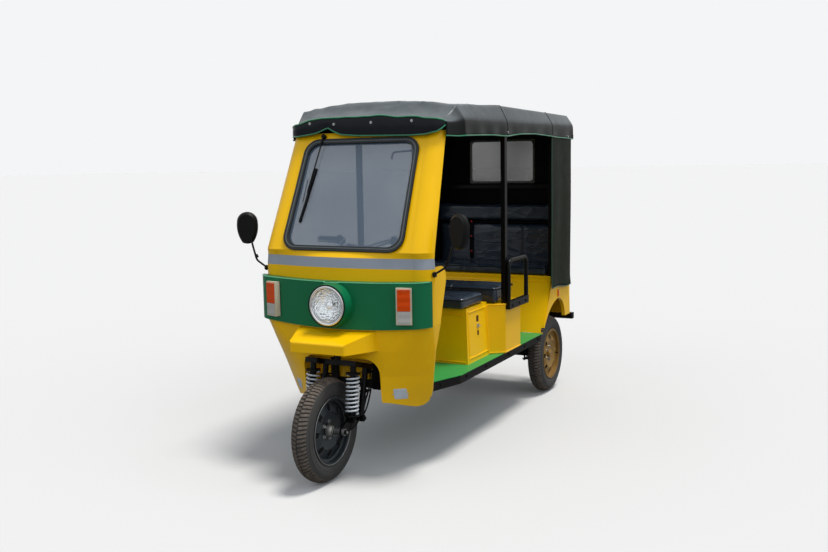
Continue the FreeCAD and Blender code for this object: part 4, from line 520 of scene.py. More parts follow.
# Moulded plastics and rubber: even tones, dull or half gloss
CREAM = Finish("cream_abs", "cream_plastic", "#D6CDB6", 0.4)
PLASTIC = Finish("black_grained_abs", "black_plastic", "#0E0F10", 0.48, specular=0.16)
RUBBER = Finish("black_extruded_rubber", "black_rubber", "#0F1011", 0.55, specular=0.14)
SEAL = Finish("grey_rubber_seal", "black_rubber", "#34383A", 0.5, specular=0.16)
FILLER = Finish("grey_filler_strip", "black_rubber", "#5E6467", 0.4)
# Seat vinyl in its wrapping: blue-black, with thin bright wrinkles of film
SEAT = FilmedVinyl("filmed_black_vinyl", "seat_vinyl", "#233243", 0.5, coat=0.7, coat_roughness=0.12)
# Vinyl-coated cloth: near black from the side, with a broad sky shine on top from its coat and a painted
# sheen, a paler colour on the faces that look up
CANOPY = CoatedCloth("black_canopy_vinyl", "canopy_cloth", "#0B0E0F", 0.45, specular=0.08, coat=0.35,
                     coat_roughness=0.24, sky_sheen="#5E666B")
VALANCE = CoatedCloth("dark_valance_vinyl", "canopy_cloth", "#121820", 0.34, specular=0.14, coat=0.2)
# Curtain vinyl: near black, with a green tint that paints the reflection of grass
CURTAIN = CoatedCloth("curtain_vinyl_painted_green_reflection", "curtain_cloth", "#121A0C", 0.5, specular=0.1)
LINING = CoatedCloth("black_curtain_lining", "curtain_cloth", "#080A0E", 0.62, specular=0.1)
# Green vinyl piping; the darker copy, on the curtains' upright edges, is painted shade
PIPING = Finish("green_vinyl_piping", "curtain_cloth", "#2A8660", 0.3, coat=0.5)
DARK_PIPING = Finish("green_piping_painted_shade", "curtain_cloth", "#174A34", 0.35, coat=0.4)
PLATE = Finish("white_enamel_plate", "white_spring_paint", "#C4CDD6", 0.4)
# Pale green on the band's rolled top edge: a painted highlight
BEAD = Finish("pale_green_painted_highlight", "green_paint", "#5FC896", 0.3, coat=0.6)
RUST = Finish("brown_primed_steel", "dark_steel", "#5A2E14", 0.65)
DIAL = DialFace("dial_print", "black_plastic", "#E7E7DF", 0.5)


# Mesh building


def spawn(name: str, mesh: Mesh, finish: Finish, smooth: bool = True) -> Thing:
    """Makes an object of a mesh, smooth up to 40 degrees and with its finish.

    Args:
        name: Name of the piece.
        mesh: Its mesh, in place in the frame.
        finish: Its finish.
        smooth: False keeps every face flat.

    Returns:
        The object, linked to the scene.
    """
    mesh.name = name
    mesh.materials.clear()
    mesh.materials.append(finish.material())
    piece = bpy.data.objects.new(name, mesh)
    bpy.context.scene.collection.objects.link(piece)
    if smooth:
        mesh.shade_smooth()
        mesh.set_sharp_from_angle(angle=math.radians(40.0))
    return piece


def built(points: Iterable[Sequence[float]], faces: Iterable[Sequence[int]]) -> Mesh:
    """Makes a mesh of points in metres and faces."""
    mesh = bpy.data.meshes.new("mesh")
    mesh.from_pydata([tuple(p) for p in points], [], [tuple(f) for f in faces])
    mesh.update()
    return mesh


def woven(rows: Sequence[Sequence[Vector]], closed: bool = False) -> Mesh:
    """Makes a mesh of quads between rows of as many points each.

    Args:
        rows: Rows of points in metres.
        closed: True joins the last point of a row to its first.

    Returns:
        The mesh.
    """
    wide = len(rows[0])
    points = [p for row in rows for p in row]
    faces = []
    for i in range(len(rows) - 1):
        for j in range(wide if closed else wide - 1):
            k = (j + 1) % wide
            faces.append((i * wide + j, i * wide + k, (i + 1) * wide + k, (i + 1) * wide + j))
    return built(points, faces)


@contextmanager
def edited(mesh: Mesh) -> Iterator[bmesh.types.BMesh]:
    """Opens a mesh for editing and writes it back at the end."""
    work = bmesh.new()
    work.from_mesh(mesh)
    yield work
    work.to_mesh(mesh)
    work.free()


def joined(meshes: Sequence[Mesh]) -> Mesh:
    """Joins meshes into one and removes the rest."""
    whole = bpy.data.meshes.new("mesh")
    with edited(whole) as work:
        for mesh in meshes:
            work.from_mesh(mesh)
            bpy.data.meshes.remove(mesh)
    return whole


def outward(mesh: Mesh) -> Mesh:
    """Merges doubles and turns the faces of closed shells outwards."""
    with edited(mesh) as work:
        bmesh.ops.remove_doubles(work, verts=work.verts, dist=MERGE)
        bmesh.ops.recalc_face_normals(work, faces=work.faces)
    return mesh


def capped(mesh: Mesh) -> Mesh:
    """Closes the open ends of a shell and turns its faces outwards."""
    with edited(mesh) as work:
        bmesh.ops.holes_fill(work, edges=work.edges[:], sides=0)
        bmesh.ops.recalc_face_normals(work, faces=work.faces)
    return mesh


def angles(count: int) -> list[float]:
    """Divides a full turn evenly."""
    return [2.0 * math.pi * k / count for k in range(count)]


def rounded(low: Pair, high: Pair, radius: float, count: int) -> list[Pair]:
    """Gives the outline of a rounded rectangle, with this many points on each corner.

    Args:
        low: Its low corner.
        high: Its high corner, where the line starts.
        radius: Radius of the corners.
        count: Points to a corner.

    Returns:
        The points in turn.
    """
    left, right, bottom, top = low[0] + radius, high[0] - radius, low[1] + radius, high[1] - radius
    out = []
    for n, (x, y) in enumerate(((right, top), (left, top), (left, bottom), (right, bottom))):
        for k in range(count):
            a = (n + k / (count - 1)) * math.pi / 2.0
            out.append((x + radius * math.cos(a), y + radius * math.sin(a)))
    return out


def tube(points: Sequence[Vector], radius: float, sides: int = 8, closed: bool = False) -> Mesh:
    """Sweeps a round section along a line of points.

    Args:
        points: The line, in metres.
        radius: Radius in metres.
        sides: Faces round the section.
        closed: True joins the ends of the line.

    Returns:
        The tube's mesh, with capped ends if it is open.
    """
    count = len(points)
    rows = []
    up = UP
    for i, here in enumerate(points):
        ahead = points[(i + 1) % count] if closed or i + 1 < count else here
        behind = points[i - 1] if closed or i > 0 else here
        along = (ahead - behind).normalized()
        side = along.cross(up)
        side = side.normalized() if side.length > 1e-3 else along.orthogonal().normalized()
        over = side.cross(along).normalized()
        up = over
        rows.append([here + (side * math.cos(a) + over * math.sin(a)) * radius for a in angles(sides)])
    if closed:
        rows.append(rows[0])
    mesh = woven(rows, True)
    if not closed:
        with edited(mesh) as work:
            work.verts.ensure_lookup_table()
            work.faces.new([work.verts[k] for k in range(sides)])
            work.faces.new([work.verts[(count - 1) * sides + k] for k in reversed(range(sides))])
    return outward(mesh)


def curved(points: Sequence[Vector], steps: int = 8) -> list[Vector]:
    """Rounds a line of points with a smooth curve through them."""
    out = []
    for i in range(len(points) - 1):
        a = points[max(i - 1, 0)]
        b, c = points[i], points[i + 1]
        d = points[min(i + 2, len(points) - 1)]
        for k in range(steps):
            t = k / steps
            out.append(0.5 * ((2 * b) + (c - a) * t + (2 * a - 5 * b + 4 * c - d) * t * t
                              + (3 * b - a - 3 * c + d) * t ** 3))
    out.append(points[-1])
    return out


def turned(profile: Sequence[Pair], centre: Vector, along: Vector, steps: int = 64) -> Mesh:
    """Revolves a profile about an axis.

    Args:
        profile: Pairs of offset along the axis and radius, in millimetres.
        centre: Where offset 0 lies, in metres.
        along: Direction of the axis.
        steps: Faces round the axis.

    Returns:
        The mesh, with the first and last ring closed where they have no radius.
    """
    along = along.normalized()
    side = along.orthogonal().normalized()
    over = along.cross(side)
    spokes = [side * math.cos(a) + over * math.sin(a) for a in angles(steps)]
    rows = [[centre + along * (offset / 1000.0) + spoke * (radius / 1000.0) for spoke in spokes]
            for offset, radius in profile]
    return outward(woven(rows, True))


def block(low: Vector, high: Vector, bevel: float, segments: int = 2) -> Mesh:
    """Makes a box between two corners with rounded edges, sizes in metres."""
    mesh = bpy.data.meshes.new("mesh")
    with edited(mesh) as work:
        bmesh.ops.create_cube(work, size=1.0)
        bmesh.ops.scale(work, vec=high - low, verts=work.verts)
        bmesh.ops.translate(work, vec=(low + high) / 2.0, verts=work.verts)
        bmesh.ops.bevel(work, geom=work.edges[:], offset=bevel, segments=segments, affect="EDGES",
                        profile=0.5)
    return mesh


def boxes(parts: Sequence[tuple[Point, Point, float]]) -> Mesh:
    """Makes rounded boxes from low corners, high corners and edge radii in millimetres."""
    return joined([block(put(*low), put(*high), radius / 1000.0) for low, high, radius in parts])


def applied(thing: Thing) -> Mesh:
    """Turns what an object's modifiers make into a plain mesh, and removes them."""
    bpy.context.view_layer.update()
    graph = bpy.context.evaluated_depsgraph_get()
    mesh = bpy.data.meshes.new_from_object(thing.evaluated_get(graph))
    thing.modifiers.clear()
    return mesh


class Surface:
    """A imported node's outer face, for seating trim on it."""

    def __init__(self, node: Thing) -> None:
        """Reads the node's faces."""
        mesh = node.data
        self.tree = BVHTree.FromPolygons([v.co.copy() for v in mesh.vertices],
                                         [tuple(p.vertices) for p in mesh.polygons])

    def hit(self, start: Vector, aim: Vector) -> Spot:
        """Gives where a ray meets the node and the normal that faces the ray's start.

        Args:
            start: Where the ray starts, in metres.
            aim: Its direction.

        Returns:
            The point and the normal there.
        """
        spot, normal, _, _ = self.tree.ray_cast(start, aim.normalized())
        if spot is None:
            raise ValueError(f"no surface from {start} towards {aim}")
        return spot, normal if normal.dot(aim) < 0.0 else -normal


def threaded(table: Sequence[Pair], at: float) -> float:
    """Reads a table of pairs in straight runs."""
    if at <= table[0][0]:
        return table[0][1]
    for (a, va), (b, vb) in zip(table, table[1:]):
        if at <= b:
            return va + (vb - va) * (at - a) / (b - a)
    return table[-1][1]


def spread(stops: Sequence[float], step: float) -> list[float]:
    """Divides the runs between stops evenly, in parts no longer than a step."""
    out = []
    for a, b in zip(stops, stops[1:]):
        count = max(1, math.ceil((b - a) / step))
        out += [a + (b - a) * k / count for k in range(count)]
    return out + [stops[-1]]


def thicken(piece: Thing, thickness: float) -> None:
    """Gives a sheet its thickness in millimetres, inwards."""
    wall = piece.modifiers.new("thickness", "SOLIDIFY")
    wall.thickness = thickness / 1000.0
    wall.offset = -1.0


def ripple(x: float, y: float, z: float, cell: float) -> float:
    """Gives smooth noise from -1 to 1, with its cells this many millimetres wide."""
    return noise.noise(Vector((x, y, z)) / cell)


def arc_through(a: Pair, b: Pair, c: Pair, steps: int) -> list[Pair]:
    """Samples the circle's arc through three points, without the last one."""
    (ax, ay), (bx, by), (cx, cy) = a, b, c
    d = 2.0 * (ax * (by - cy) + bx * (cy - ay) + cx * (ay - by))
    aa, bb, cc = (x * x + y * y for x, y in (a, b, c))
    ux = (aa * (by - cy) + bb * (cy - ay) + cc * (ay - by)) / d
    uy = (aa * (cx - bx) + bb * (ax - cx) + cc * (bx - ax)) / d
    radius = math.hypot(ax - ux, ay - uy)
    first, middle, last = (math.atan2(p[1] - uy, p[0] - ux) for p in (a, b, c))
    sweep = (last - first) % (2.0 * math.pi)
    if (middle - first) % (2.0 * math.pi) > sweep:
        sweep -= 2.0 * math.pi
    return [(ux + radius * math.cos(first + sweep * k / steps),
             uy + radius * math.sin(first + sweep * k / steps))
            for k in range(steps)]


def ring_of(rows: Sequence[Sequence[Vector]]) -> list[Vector]:
    """Gives the points round the edge of a grid."""
    return (list(rows[0]) + [r[-1] for r in rows[1:-1]] + list(reversed(rows[-1]))
            + [r[0] for r in reversed(rows[1:-1])])


def laid_on(surface: Surface, centre: Vector, aim: Vector, up: Vector, half_w: float, half_h: float,
            proud: float, corner: float, steps: int = 10) -> Mesh:
    """Lays a thin rounded plate on a node so that it follows the face.

    Args:
        surface: Node that carries it.
        centre: Where rays start, in metres, in front of the plate's middle.
        aim: Direction of the rays.
        up: Rough upward direction of the plate.
        half_w: Half its width in millimetres.
        half_h: Half its height.
        proud: How far its face stands off.
        corner: Its corner radius.
        steps: Quads across it.

    Returns:
        A closed shell whose back lies in the surface.
    """
    side = up.cross(aim).normalized()
    over = aim.cross(side).normalized()
    front, back = [], []
    for i in range(steps + 1):
        row_f, row_b = [], []
        for j in range(steps + 1):
            u, v = 2.0 * i / steps - 1.0, 2.0 * j / steps - 1.0
            x, y = u * half_w, v * half_h
            cut_x = max(abs(x) - (half_w - corner), 0.0)
            cut_y = max(abs(y) - (half_h - corner), 0.0)
            if cut_x > 0.0 and cut_y > 0.0 and math.hypot(cut_x, cut_y) > corner:
                pull = corner / math.hypot(cut_x, cut_y)
                x = math.copysign(half_w - corner + cut_x * pull, x)
                y = math.copysign(half_h - corner + cut_y * pull, y)
            spot, _ = surface.hit(centre + side * (x / 1000.0) + over * (y / 1000.0), aim)
            edge = i in (0, steps) or j in (0, steps)
            row_f.append(spot - aim.normalized() * ((proud * 0.35 if edge else proud) / 1000.0))
            row_b.append(spot + aim.normalized() * 0.0006)
        front.append(row_f)
        back.append(row_b)
    return outward(joined([woven(front), woven(back), woven([ring_of(front), ring_of(back)], True)]))


# Geometry Nodes for what repeats


class Head(Enum):
    """Forms of fastener head."""

    HEX = "hexagon bolt head on its washer"
    DOME = "domed rivet"
    SNAP = "snap button with a rolled rim"


def inputs(tree: Tree, names: dict[str, str]) -> tuple[Node, dict[str, str]]:
    """Gives a geometry tree its named inputs and its output.

    Args:
        tree: The tree.
        names: Socket type by input name.

    Returns:
        The input node, and each input's identifier by its name.
    """
    tree.interface.new_socket(name="Geometry", in_out="INPUT", socket_type="NodeSocketGeometry")
    tree.interface.new_socket(name="Geometry", in_out="OUTPUT", socket_type="NodeSocketGeometry")
    keys = {name: tree.interface.new_socket(name=name, in_out="INPUT", socket_type=kind).identifier
            for name, kind in names.items()}
    return add(tree, "NodeGroupInput"), keys


def run_tree(tree: Tree, keys: dict[str, str], values: dict, carrier: Mesh) -> Mesh:
    """Runs a geometry tree on a mesh and bakes what it makes.

    Args:
        tree: The tree.
        keys: Identifier by input name.
        values: Value by input name.
        carrier: Mesh that the tree starts from; it is removed.

    Returns:
        The plain mesh.
    """
    holder = bpy.data.objects.new("carrier", carrier)
    bpy.context.scene.collection.objects.link(holder)
    step = holder.modifiers.new("repeat", "NODES")
    step.node_group = tree
    for name, value in values.items():
        step[keys[name]] = value
    mesh = applied(holder)
    bpy.data.objects.remove(holder)
    bpy.data.meshes.remove(carrier)
    return mesh


def close_tree(tree: Tree, instances: Node, finish: Finish) -> None:
    """Ends a tree in Realize Instances and Set Material."""
    real = add(tree, "GeometryNodeRealizeInstances", links={0: instances})
    coloured = add(tree, "GeometryNodeSetMaterial", {"Material": finish.material()}, {0: real})
    add(tree, "NodeGroupOutput", links={0: coloured})


@dataclass(frozen=True)
class Fasteners:
    """Heads of one form and size, seated at spots that face outwards."""

    head: Head
    radius: float
    height: float
    finish: Finish

    def mesh(self, spots: Sequence[Spot]) -> Mesh:
        """Makes the heads.

        Args:
            spots: Point and outward direction of each, in metres.

        Returns:
            All heads as one mesh.
        """
        tree = bpy.data.node_groups.new("heads", "GeometryNodeTree")
        start, keys = inputs(tree, {"Radius": "NodeSocketFloat", "Height": "NodeSocketFloat"})
        aim = add(tree, "GeometryNodeInputNamedAttribute", {"data_type": "FLOAT_VECTOR", "Name": "aim"})
        turn = add(tree, "FunctionNodeAlignRotationToVector", {"axis": "Z"}, {"Vector": aim})
        head = self.form(tree, start.outputs["Radius"], start.outputs["Height"])
        seated = add(tree, "GeometryNodeInstanceOnPoints", links={
            "Points": start.outputs["Geometry"], "Instance": head, "Rotation": turn})
        close_tree(tree, seated, self.finish)
        carrier = built([s for s, _ in spots], [])
        aims = carrier.attributes.new("aim", "FLOAT_VECTOR", "POINT")
        for row, (_, outwards) in zip(aims.data, spots):
            row.vector = outwards.normalized()
        values = {"Radius": self.radius / 1000.0, "Height": self.height / 1000.0}
        return run_tree(tree, keys, values, carrier)

    def form(self, tree: Tree, radius: Socket, height: Socket) -> Node:
        """Builds one head, standing on the surface and let into it by a little."""
        if self.head is Head.DOME:
            ball = add(tree, "GeometryNodeMeshUVSphere", {"Segments": 12, "Rings": 6}, {"Radius": radius})
            share = add(tree, "ShaderNodeMath", {"operation": "DIVIDE"}, {0: height, 1: radius})
            flat = add(tree, "ShaderNodeCombineXYZ", {"X": 1.0, "Y": 1.0}, {"Z": share})
            return add(tree, "GeometryNodeTransform", links={0: ball, "Scale": flat})
        sides = 6 if self.head is Head.HEX else 14
        shank = add(tree, "GeometryNodeMeshCylinder", {"Vertices": sides},
                    {"Radius": radius, "Depth": height})
        half = add(tree, "ShaderNodeMath", {"operation": "MULTIPLY", 1: 0.45}, {0: height})
        raised = add(tree, "ShaderNodeCombineXYZ", links={"Z": half})
        top = add(tree, "GeometryNodeTransform", links={0: shank, "Translation": raised})
        wide = add(tree, "ShaderNodeMath", {"operation": "MULTIPLY", 1: 1.45}, {0: radius})
        thin = add(tree, "ShaderNodeMath", {"operation": "MULTIPLY", 1: 0.5}, {0: height})
        washer = add(tree, "GeometryNodeMeshCylinder", {"Vertices": 16}, {"Radius": wide, "Depth": thin})
        merge = add(tree, "GeometryNodeJoinGeometry")
        for part in (top, washer):
            feed(tree, merge, {0: part})
        return merge


@dataclass(frozen=True)
class Stitching:
    """A row of thread stitches along a line, in millimetres."""

    pitch: float
    length: float
    radius: float
    finish: Finish

    def mesh(self, line: Sequence[Vector], closed: bool = False) -> Mesh:
        """Makes the stitches along a line of points in metres."""
        tree = bpy.data.node_groups.new("stitches", "GeometryNodeTree")
        start, keys = inputs(tree, {"Pitch": "NodeSocketFloat", "Length": "NodeSocketFloat",
                                    "Radius": "NodeSocketFloat"})
        line_curve = add(tree, "GeometryNodeMeshToCurve", links={0: start.outputs["Geometry"]})
        evenly = add(tree, "GeometryNodeResampleCurve", {"mode": "LENGTH"},
                     {"Curve": line_curve, "Length": start.outputs["Pitch"]})
        along = add(tree, "GeometryNodeInputTangent")
        turn = add(tree, "FunctionNodeAlignRotationToVector", {"axis": "Z"}, {"Vector": along})
        thread = add(tree, "GeometryNodeMeshCylinder", {"Vertices": 5},
                     {"Radius": start.outputs["Radius"], "Depth": start.outputs["Length"]})
        seated = add(tree, "GeometryNodeInstanceOnPoints", links={
            "Points": evenly, "Instance": thread, "Rotation": turn})
        close_tree(tree, seated, self.finish)
        carrier = bpy.data.meshes.new("line")
        count = len(line)
        edges = [(i, i + 1) for i in range(count - 1)] + ([(count - 1, 0)] if closed else [])
        carrier.from_pydata([tuple(p) for p in line], edges, [])
        values = {"Pitch": self.pitch / 1000.0, "Length": self.length / 1000.0,
                  "Radius": self.radius / 1000.0}
        return run_tree(tree, keys, values, carrier)


@dataclass(frozen=True)
class Ringed:
    """One form set evenly round an axis."""

    count: int
    centre: Vector
    finish: Finish
    start: float = 0.0

    def mesh(self, form: Mesh) -> Mesh:
        """Repeats a form that is drawn about the origin, round the X axis at the centre."""
        tree = bpy.data.node_groups.new("ringed", "GeometryNodeTree")
        start, keys = inputs(tree, {"Count": "NodeSocketInt", "Start": "NodeSocketFloat",
                                    "Centre": "NodeSocketVector"})
        points = add(tree, "GeometryNodePoints", links={"Count": start.outputs["Count"],
                                                        "Position": start.outputs["Centre"]})
        index = add(tree, "GeometryNodeInputIndex")
        turns = add(tree, "ShaderNodeMath", {"operation": "DIVIDE"}, {0: index, 1: start.outputs["Count"]})
        angle = add(tree, "ShaderNodeMath", {"operation": "MULTIPLY_ADD", 1: 2.0 * math.pi},
                    {0: turns, 2: start.outputs["Start"]})
        turn = add(tree, "FunctionNodeAxisAngleToRotation", {"Axis": (1.0, 0.0, 0.0)}, {"Angle": angle})
        seated = add(tree, "GeometryNodeInstanceOnPoints", links={
            "Points": points, "Instance": start.outputs["Geometry"], "Rotation": turn})
        close_tree(tree, seated, self.finish)
        values = {"Count": self.count, "Start": self.start, "Centre": tuple(self.centre)}
        return run_tree(tree, keys, values, form)


# The vehicle's sub-assemblies


class Assembly:
    """A sub-assembly of the vehicle. Its pieces ride on one body, the root if it names none."""

    rides_on: str = "root"

    def keep(self, name: str, mesh: Mesh, finish: Finish, replaces: Sequence[str] = (),
             smooth: bool = True) -> Thing:
        """Adds a finished piece to the object.

        Args:
            name: Name of the piece.
            mesh: Its mesh, in place.
            finish: Its finish.
            replaces: Nodes that it stands for.
            smooth: False keeps its faces flat.

        Returns:
            The piece.
        """
        piece = spawn(name, mesh, finish, smooth)
        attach(piece, self.rides_on)
        if replaces:
            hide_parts(*replaces)
        log.info("%s: %s faces, %s", name, len(mesh.polygons), finish.name)
        return piece

    def fasten(self, name: str, head: Head, radius: float, height: float, finish: Finish,
               spots: Sequence[Spot]) -> Thing:
        """Adds a row of fasteners; domes are smooth, hexagons keep flat faces."""
        return self.keep(name, Fasteners(head, radius, height, finish).mesh(spots), finish,
                         smooth=head is not Head.HEX)


@dataclass
class NodeFinishes(Assembly):
    """Finishes of the nodes that keep their own shape."""

    by_node: dict[str, Finish] = field(default_factory=lambda: {
        "chassis_frame": CHASSIS, "leaf_springs": IRON, "rear_axle": CHASSIS, "drive_motor": HUB,
        "floor_pan": FLOOR_GREEN, "leg_shield": YELLOW, "wheel_housing": YELLOW, "nose_shelf": YELLOW,
        "front_band": GREEN, "windscreen_frame": YELLOW_STRIPED, "windscreen_gasket": SEAL,
        "windscreen_glass": GLASS, "wiper": BLACK, "dashboard": PLASTIC, "brake_pedal": IRON,
        "headlamp_bezel": CHROME, "headlamp_bowl": REFLECTOR, "headlamp_lens": LAMP_GLASS,
        "indicator_housings": CREAM, "indicator_lenses": TWO_TONE, "mirrors": PLASTIC,
        "driver_seat_box": YELLOW, "bench_box": YELLOW, "battery_block": PLASTIC,
        # The rear fenders take the copy with painted shade inside the arches
        "rear_fenders": YELLOW_ARCHED, "rear_tub": YELLOW, "canopy_frame": BLACK, "rear_window": FILM,
        "armrest_loops": BLACK, "tail_lamps": TAIL_LENS, "front_fork": BLACK, "fork_links": BLACK,
        "fork_dampers": BLACK, "fork_springs": SPRING, "front_axle": STEEL, "handlebar": CHROME,
        "handlebar_grips": RUBBER, "front_rim": FRONT_RIM, "rear_left_rim": REAR_RIM,
        "rear_right_rim": REAR_RIM})

    def dress(self, nodes: dict[str, Thing]) -> None:
        """Gives each node its finish."""
        for name, finish in self.by_node.items():
            slots = nodes[name].data.materials
            slots.clear()
            slots.append(finish.material())
            log.info("%s takes %s", name, finish.name)


@dataclass
class Wheel(Assembly):
    """One wheel: tyre with its tread, valve and nuts. Sizes in millimetres."""

    tyre: str
    rim: str
    x: float
    y: float
    nut_r: float
    nut_faces: tuple[float, ...]
    rides_on: str
    bead_half: float = 37.0
    bead_r: float = 154.0
    flange_r: float = 163.0
    wide: Pair = (47.0, 202.0)
    shoulder: Pair = (38.0, 235.0)
    groove: float = 7.0
    lugs: int = 78
    lug_offsets: tuple[float, ...] = (3.5, 11.0, 19.0, 27.0, 35.0, 41.0, 45.5)
    wall_lines: tuple[Point, ...] = ((39.6, 170.0, 1.6), (46.2, 190.0, 1.3), (46.4, 212.0, 1.3))
    edge: Pair = (43.0, 161.5)
    nuts: int = 5
    vents: int = 8
    vent_r: float = 110.0
    vent_half: Pair = (18.0, 24.0)
    cone: bool = False

    def centre(self) -> Vector:
        """Gives the wheel's centre."""
        return put(self.x, self.y, TYRE_R)

    def crown_radius(self, offset: float) -> float:
        """Gives the outer radius at an offset from the middle plane."""
        half, low = self.shoulder
        rise = TYRE_R - low
        arc = (half * half + rise * rise) / (2.0 * rise)
        if abs(offset) <= half:
            return TYRE_R - arc + math.sqrt(arc * arc - offset * offset)
        past = min((abs(offset) - half) / (self.wide[0] - half), 1.0)
        return low - (low - self.wide[1]) * past ** 1.6

    def profile(self) -> list[Pair]:
        """Gives the carcass as offset and radius, from bead to bead and round its inside."""
        side = arc_through((self.bead_half, self.flange_r), self.wide, self.shoulder, 12)
        side = [(x, r) for x, r in side if r < 232.0]
        crown = [(x, self.crown_radius(x) - self.groove) for x in (36.0, 30.0, 20.0, 10.0, 0.0)]
        half = [(self.bead_half, self.bead_r)] + side + crown
        mirrored = [(-x, r) for x, r in reversed(half[:-1])]
        inside = [(-self.bead_half + 6.0, self.bead_r), (self.bead_half - 6.0, self.bead_r)]
        return half + mirrored + inside + half[:1]

    def lug(self, side: int) -> Mesh:
        """Makes one curved tread block about the origin, from the middle groove to the shoulder."""
        pitch = 2.0 * math.pi / self.lugs
        rows = []
        for k, offset in enumerate(self.lug_offsets):
            lean = pitch * (0.55 * (offset / 45.0) ** 1.5)
            half = pitch * (0.31 if k else 0.26)
            top = self.crown_radius(offset) - (0.2 if k < 5 else 0.6 * (k - 4))
            ring = []
            for radius, reach in ((top - self.groove - 3.0, 1.12), (top, 1.0), (top, -1.0),
                                  (top - self.groove - 3.0, -1.12)):
                angle = lean + half * reach
                ring.append(Vector((side * offset, radius * math.sin(angle),
                                    radius * math.cos(angle))) / 1000.0)
            rows.append(ring)
        return capped(woven(rows, True))

    def circle(self, offset: float, radius: float, count: int) -> list[Vector]:
        """Gives a circle round the axle, at an offset along it."""
        return [self.centre() + Vector((offset, radius * math.sin(a), radius * math.cos(a))) / 1000.0
                for a in angles(count)]

    def rings(self) -> Mesh:
        """Makes the raised lines that run round each sidewall."""
        return joined([tube(self.circle(side * offset, radius, 72), thick / 1000.0, 5, True)
                       for side in (-1, 1) for offset, radius, thick in self.wall_lines])

    def dress_vents(self, rim: Surface) -> None:
        """Fills each vent with a dark disc, a painted shade of the hole, inside a rolled lip.

        The form is drawn half a pitch aside, where the disc is whole, and turned back over the vents.

        Args:
            rim: The rim's surface.
        """
        turn = math.pi / self.vents
        radial = Vector((0.0, math.sin(turn), math.cos(turn)))
        around = Vector((0.0, math.cos(turn), -math.sin(turn)))
        shade_discs, lips = [], []
        for face in self.nut_faces:
            rows = []
            for share, sunk in ((0.001, 0.6), (0.5, 0.6), (0.96, 0.6), (1.0, -1.5), (0.001, -1.5)):
                row = []
                for a in angles(24):
                    arm = around * (self.vent_half[0] * math.cos(a) * share)
                    arm += radial * (self.vent_r + self.vent_half[1] * math.sin(a) * share)
                    spot, _ = rim.hit(self.centre() + arm / 1000.0 + LEFT * (face * 0.2), LEFT * -face)
                    row.append(spot - self.centre() + LEFT * (face * sunk / 1000.0))
                rows.append(row)
            shade_discs.append(outward(woven(rows, True)))
            lips.append(tube(rows[2], 0.0024, 6, True))
        origin = Ringed(self.vents, self.centre(), RUBBER, turn)
        # The dark discs paint the shade seen through each vent
        self.keep(f"{self.rim}_vent_painted_shade", origin.mesh(joined(shade_discs)), RUBBER)
        self.keep(f"{self.rim}_vent_lips", origin.mesh(joined(lips)), FRONT_RIM if self.cone else REAR_RIM)

    def build(self, nodes: dict[str, Thing]) -> None:
        """Builds the tyre, its tread and the rim's small parts."""
        centre = self.centre()
        carcass = turned(self.profile(), centre, LEFT, 96)
        tread = [Ringed(self.lugs, centre, TYRE, start).mesh(self.lug(side))
                 for side, start in ((-1, math.pi / self.lugs), (1, 0.0))]
        self.keep(f"{self.tyre}_tread", joined(tread), TREAD)
        self.keep(f"{self.tyre}_carcass", joined([carcass, self.rings()]), TYRE, (self.tyre,))
        rim = Surface(nodes[self.rim])
        self.dress_vents(rim)
        offset, radius = self.edge
        edges = [tube(self.circle(side * offset, radius, 96), 0.0015, 6, True) for side in (-1, 1)]
        self.keep(f"{self.rim}_edge", joined(edges), STEEL if self.cone else REAR_RIM)
        if self.cone:
            profile = [(18.0, 33.0), (26.0, 33.5), (40.0, 29.0), (50.0, 25.5), (54.0, 24.6), (54.0, 22.0)]
            cones = [turned(profile, centre, LEFT * side, 40) for side in (-1, 1)]
            self.keep(f"{self.rim}_cone", joined(cones), HUB)
        spots = []
        for face in self.nut_faces:
            for k in range(self.nuts):
                a = 2.0 * math.pi * (k + 0.25) / self.nuts
                arm = Vector((face * 200.0, self.nut_r * math.sin(a), self.nut_r * math.cos(a))) / 1000.0
                spots.append((rim.hit(centre + arm, LEFT * -face)[0], LEFT * face))
        self.fasten(f"{self.rim}_nuts", Head.HEX, 7.0, 9.0, STEEL, spots)
        side = self.nut_faces[0]
        foot = centre + Vector((side * 0.012, 0.138, -0.020))
        tip = centre + Vector((side * 0.040, 0.118, -0.017))
        valve = joined([tube([foot, (foot + tip) / 2.0, tip], 0.0032, 10),
                        tube([tip, tip + (tip - foot).normalized() * 0.008], 0.0045, 10)])
        self.keep(f"{self.rim}_valve", valve, RUBBER)


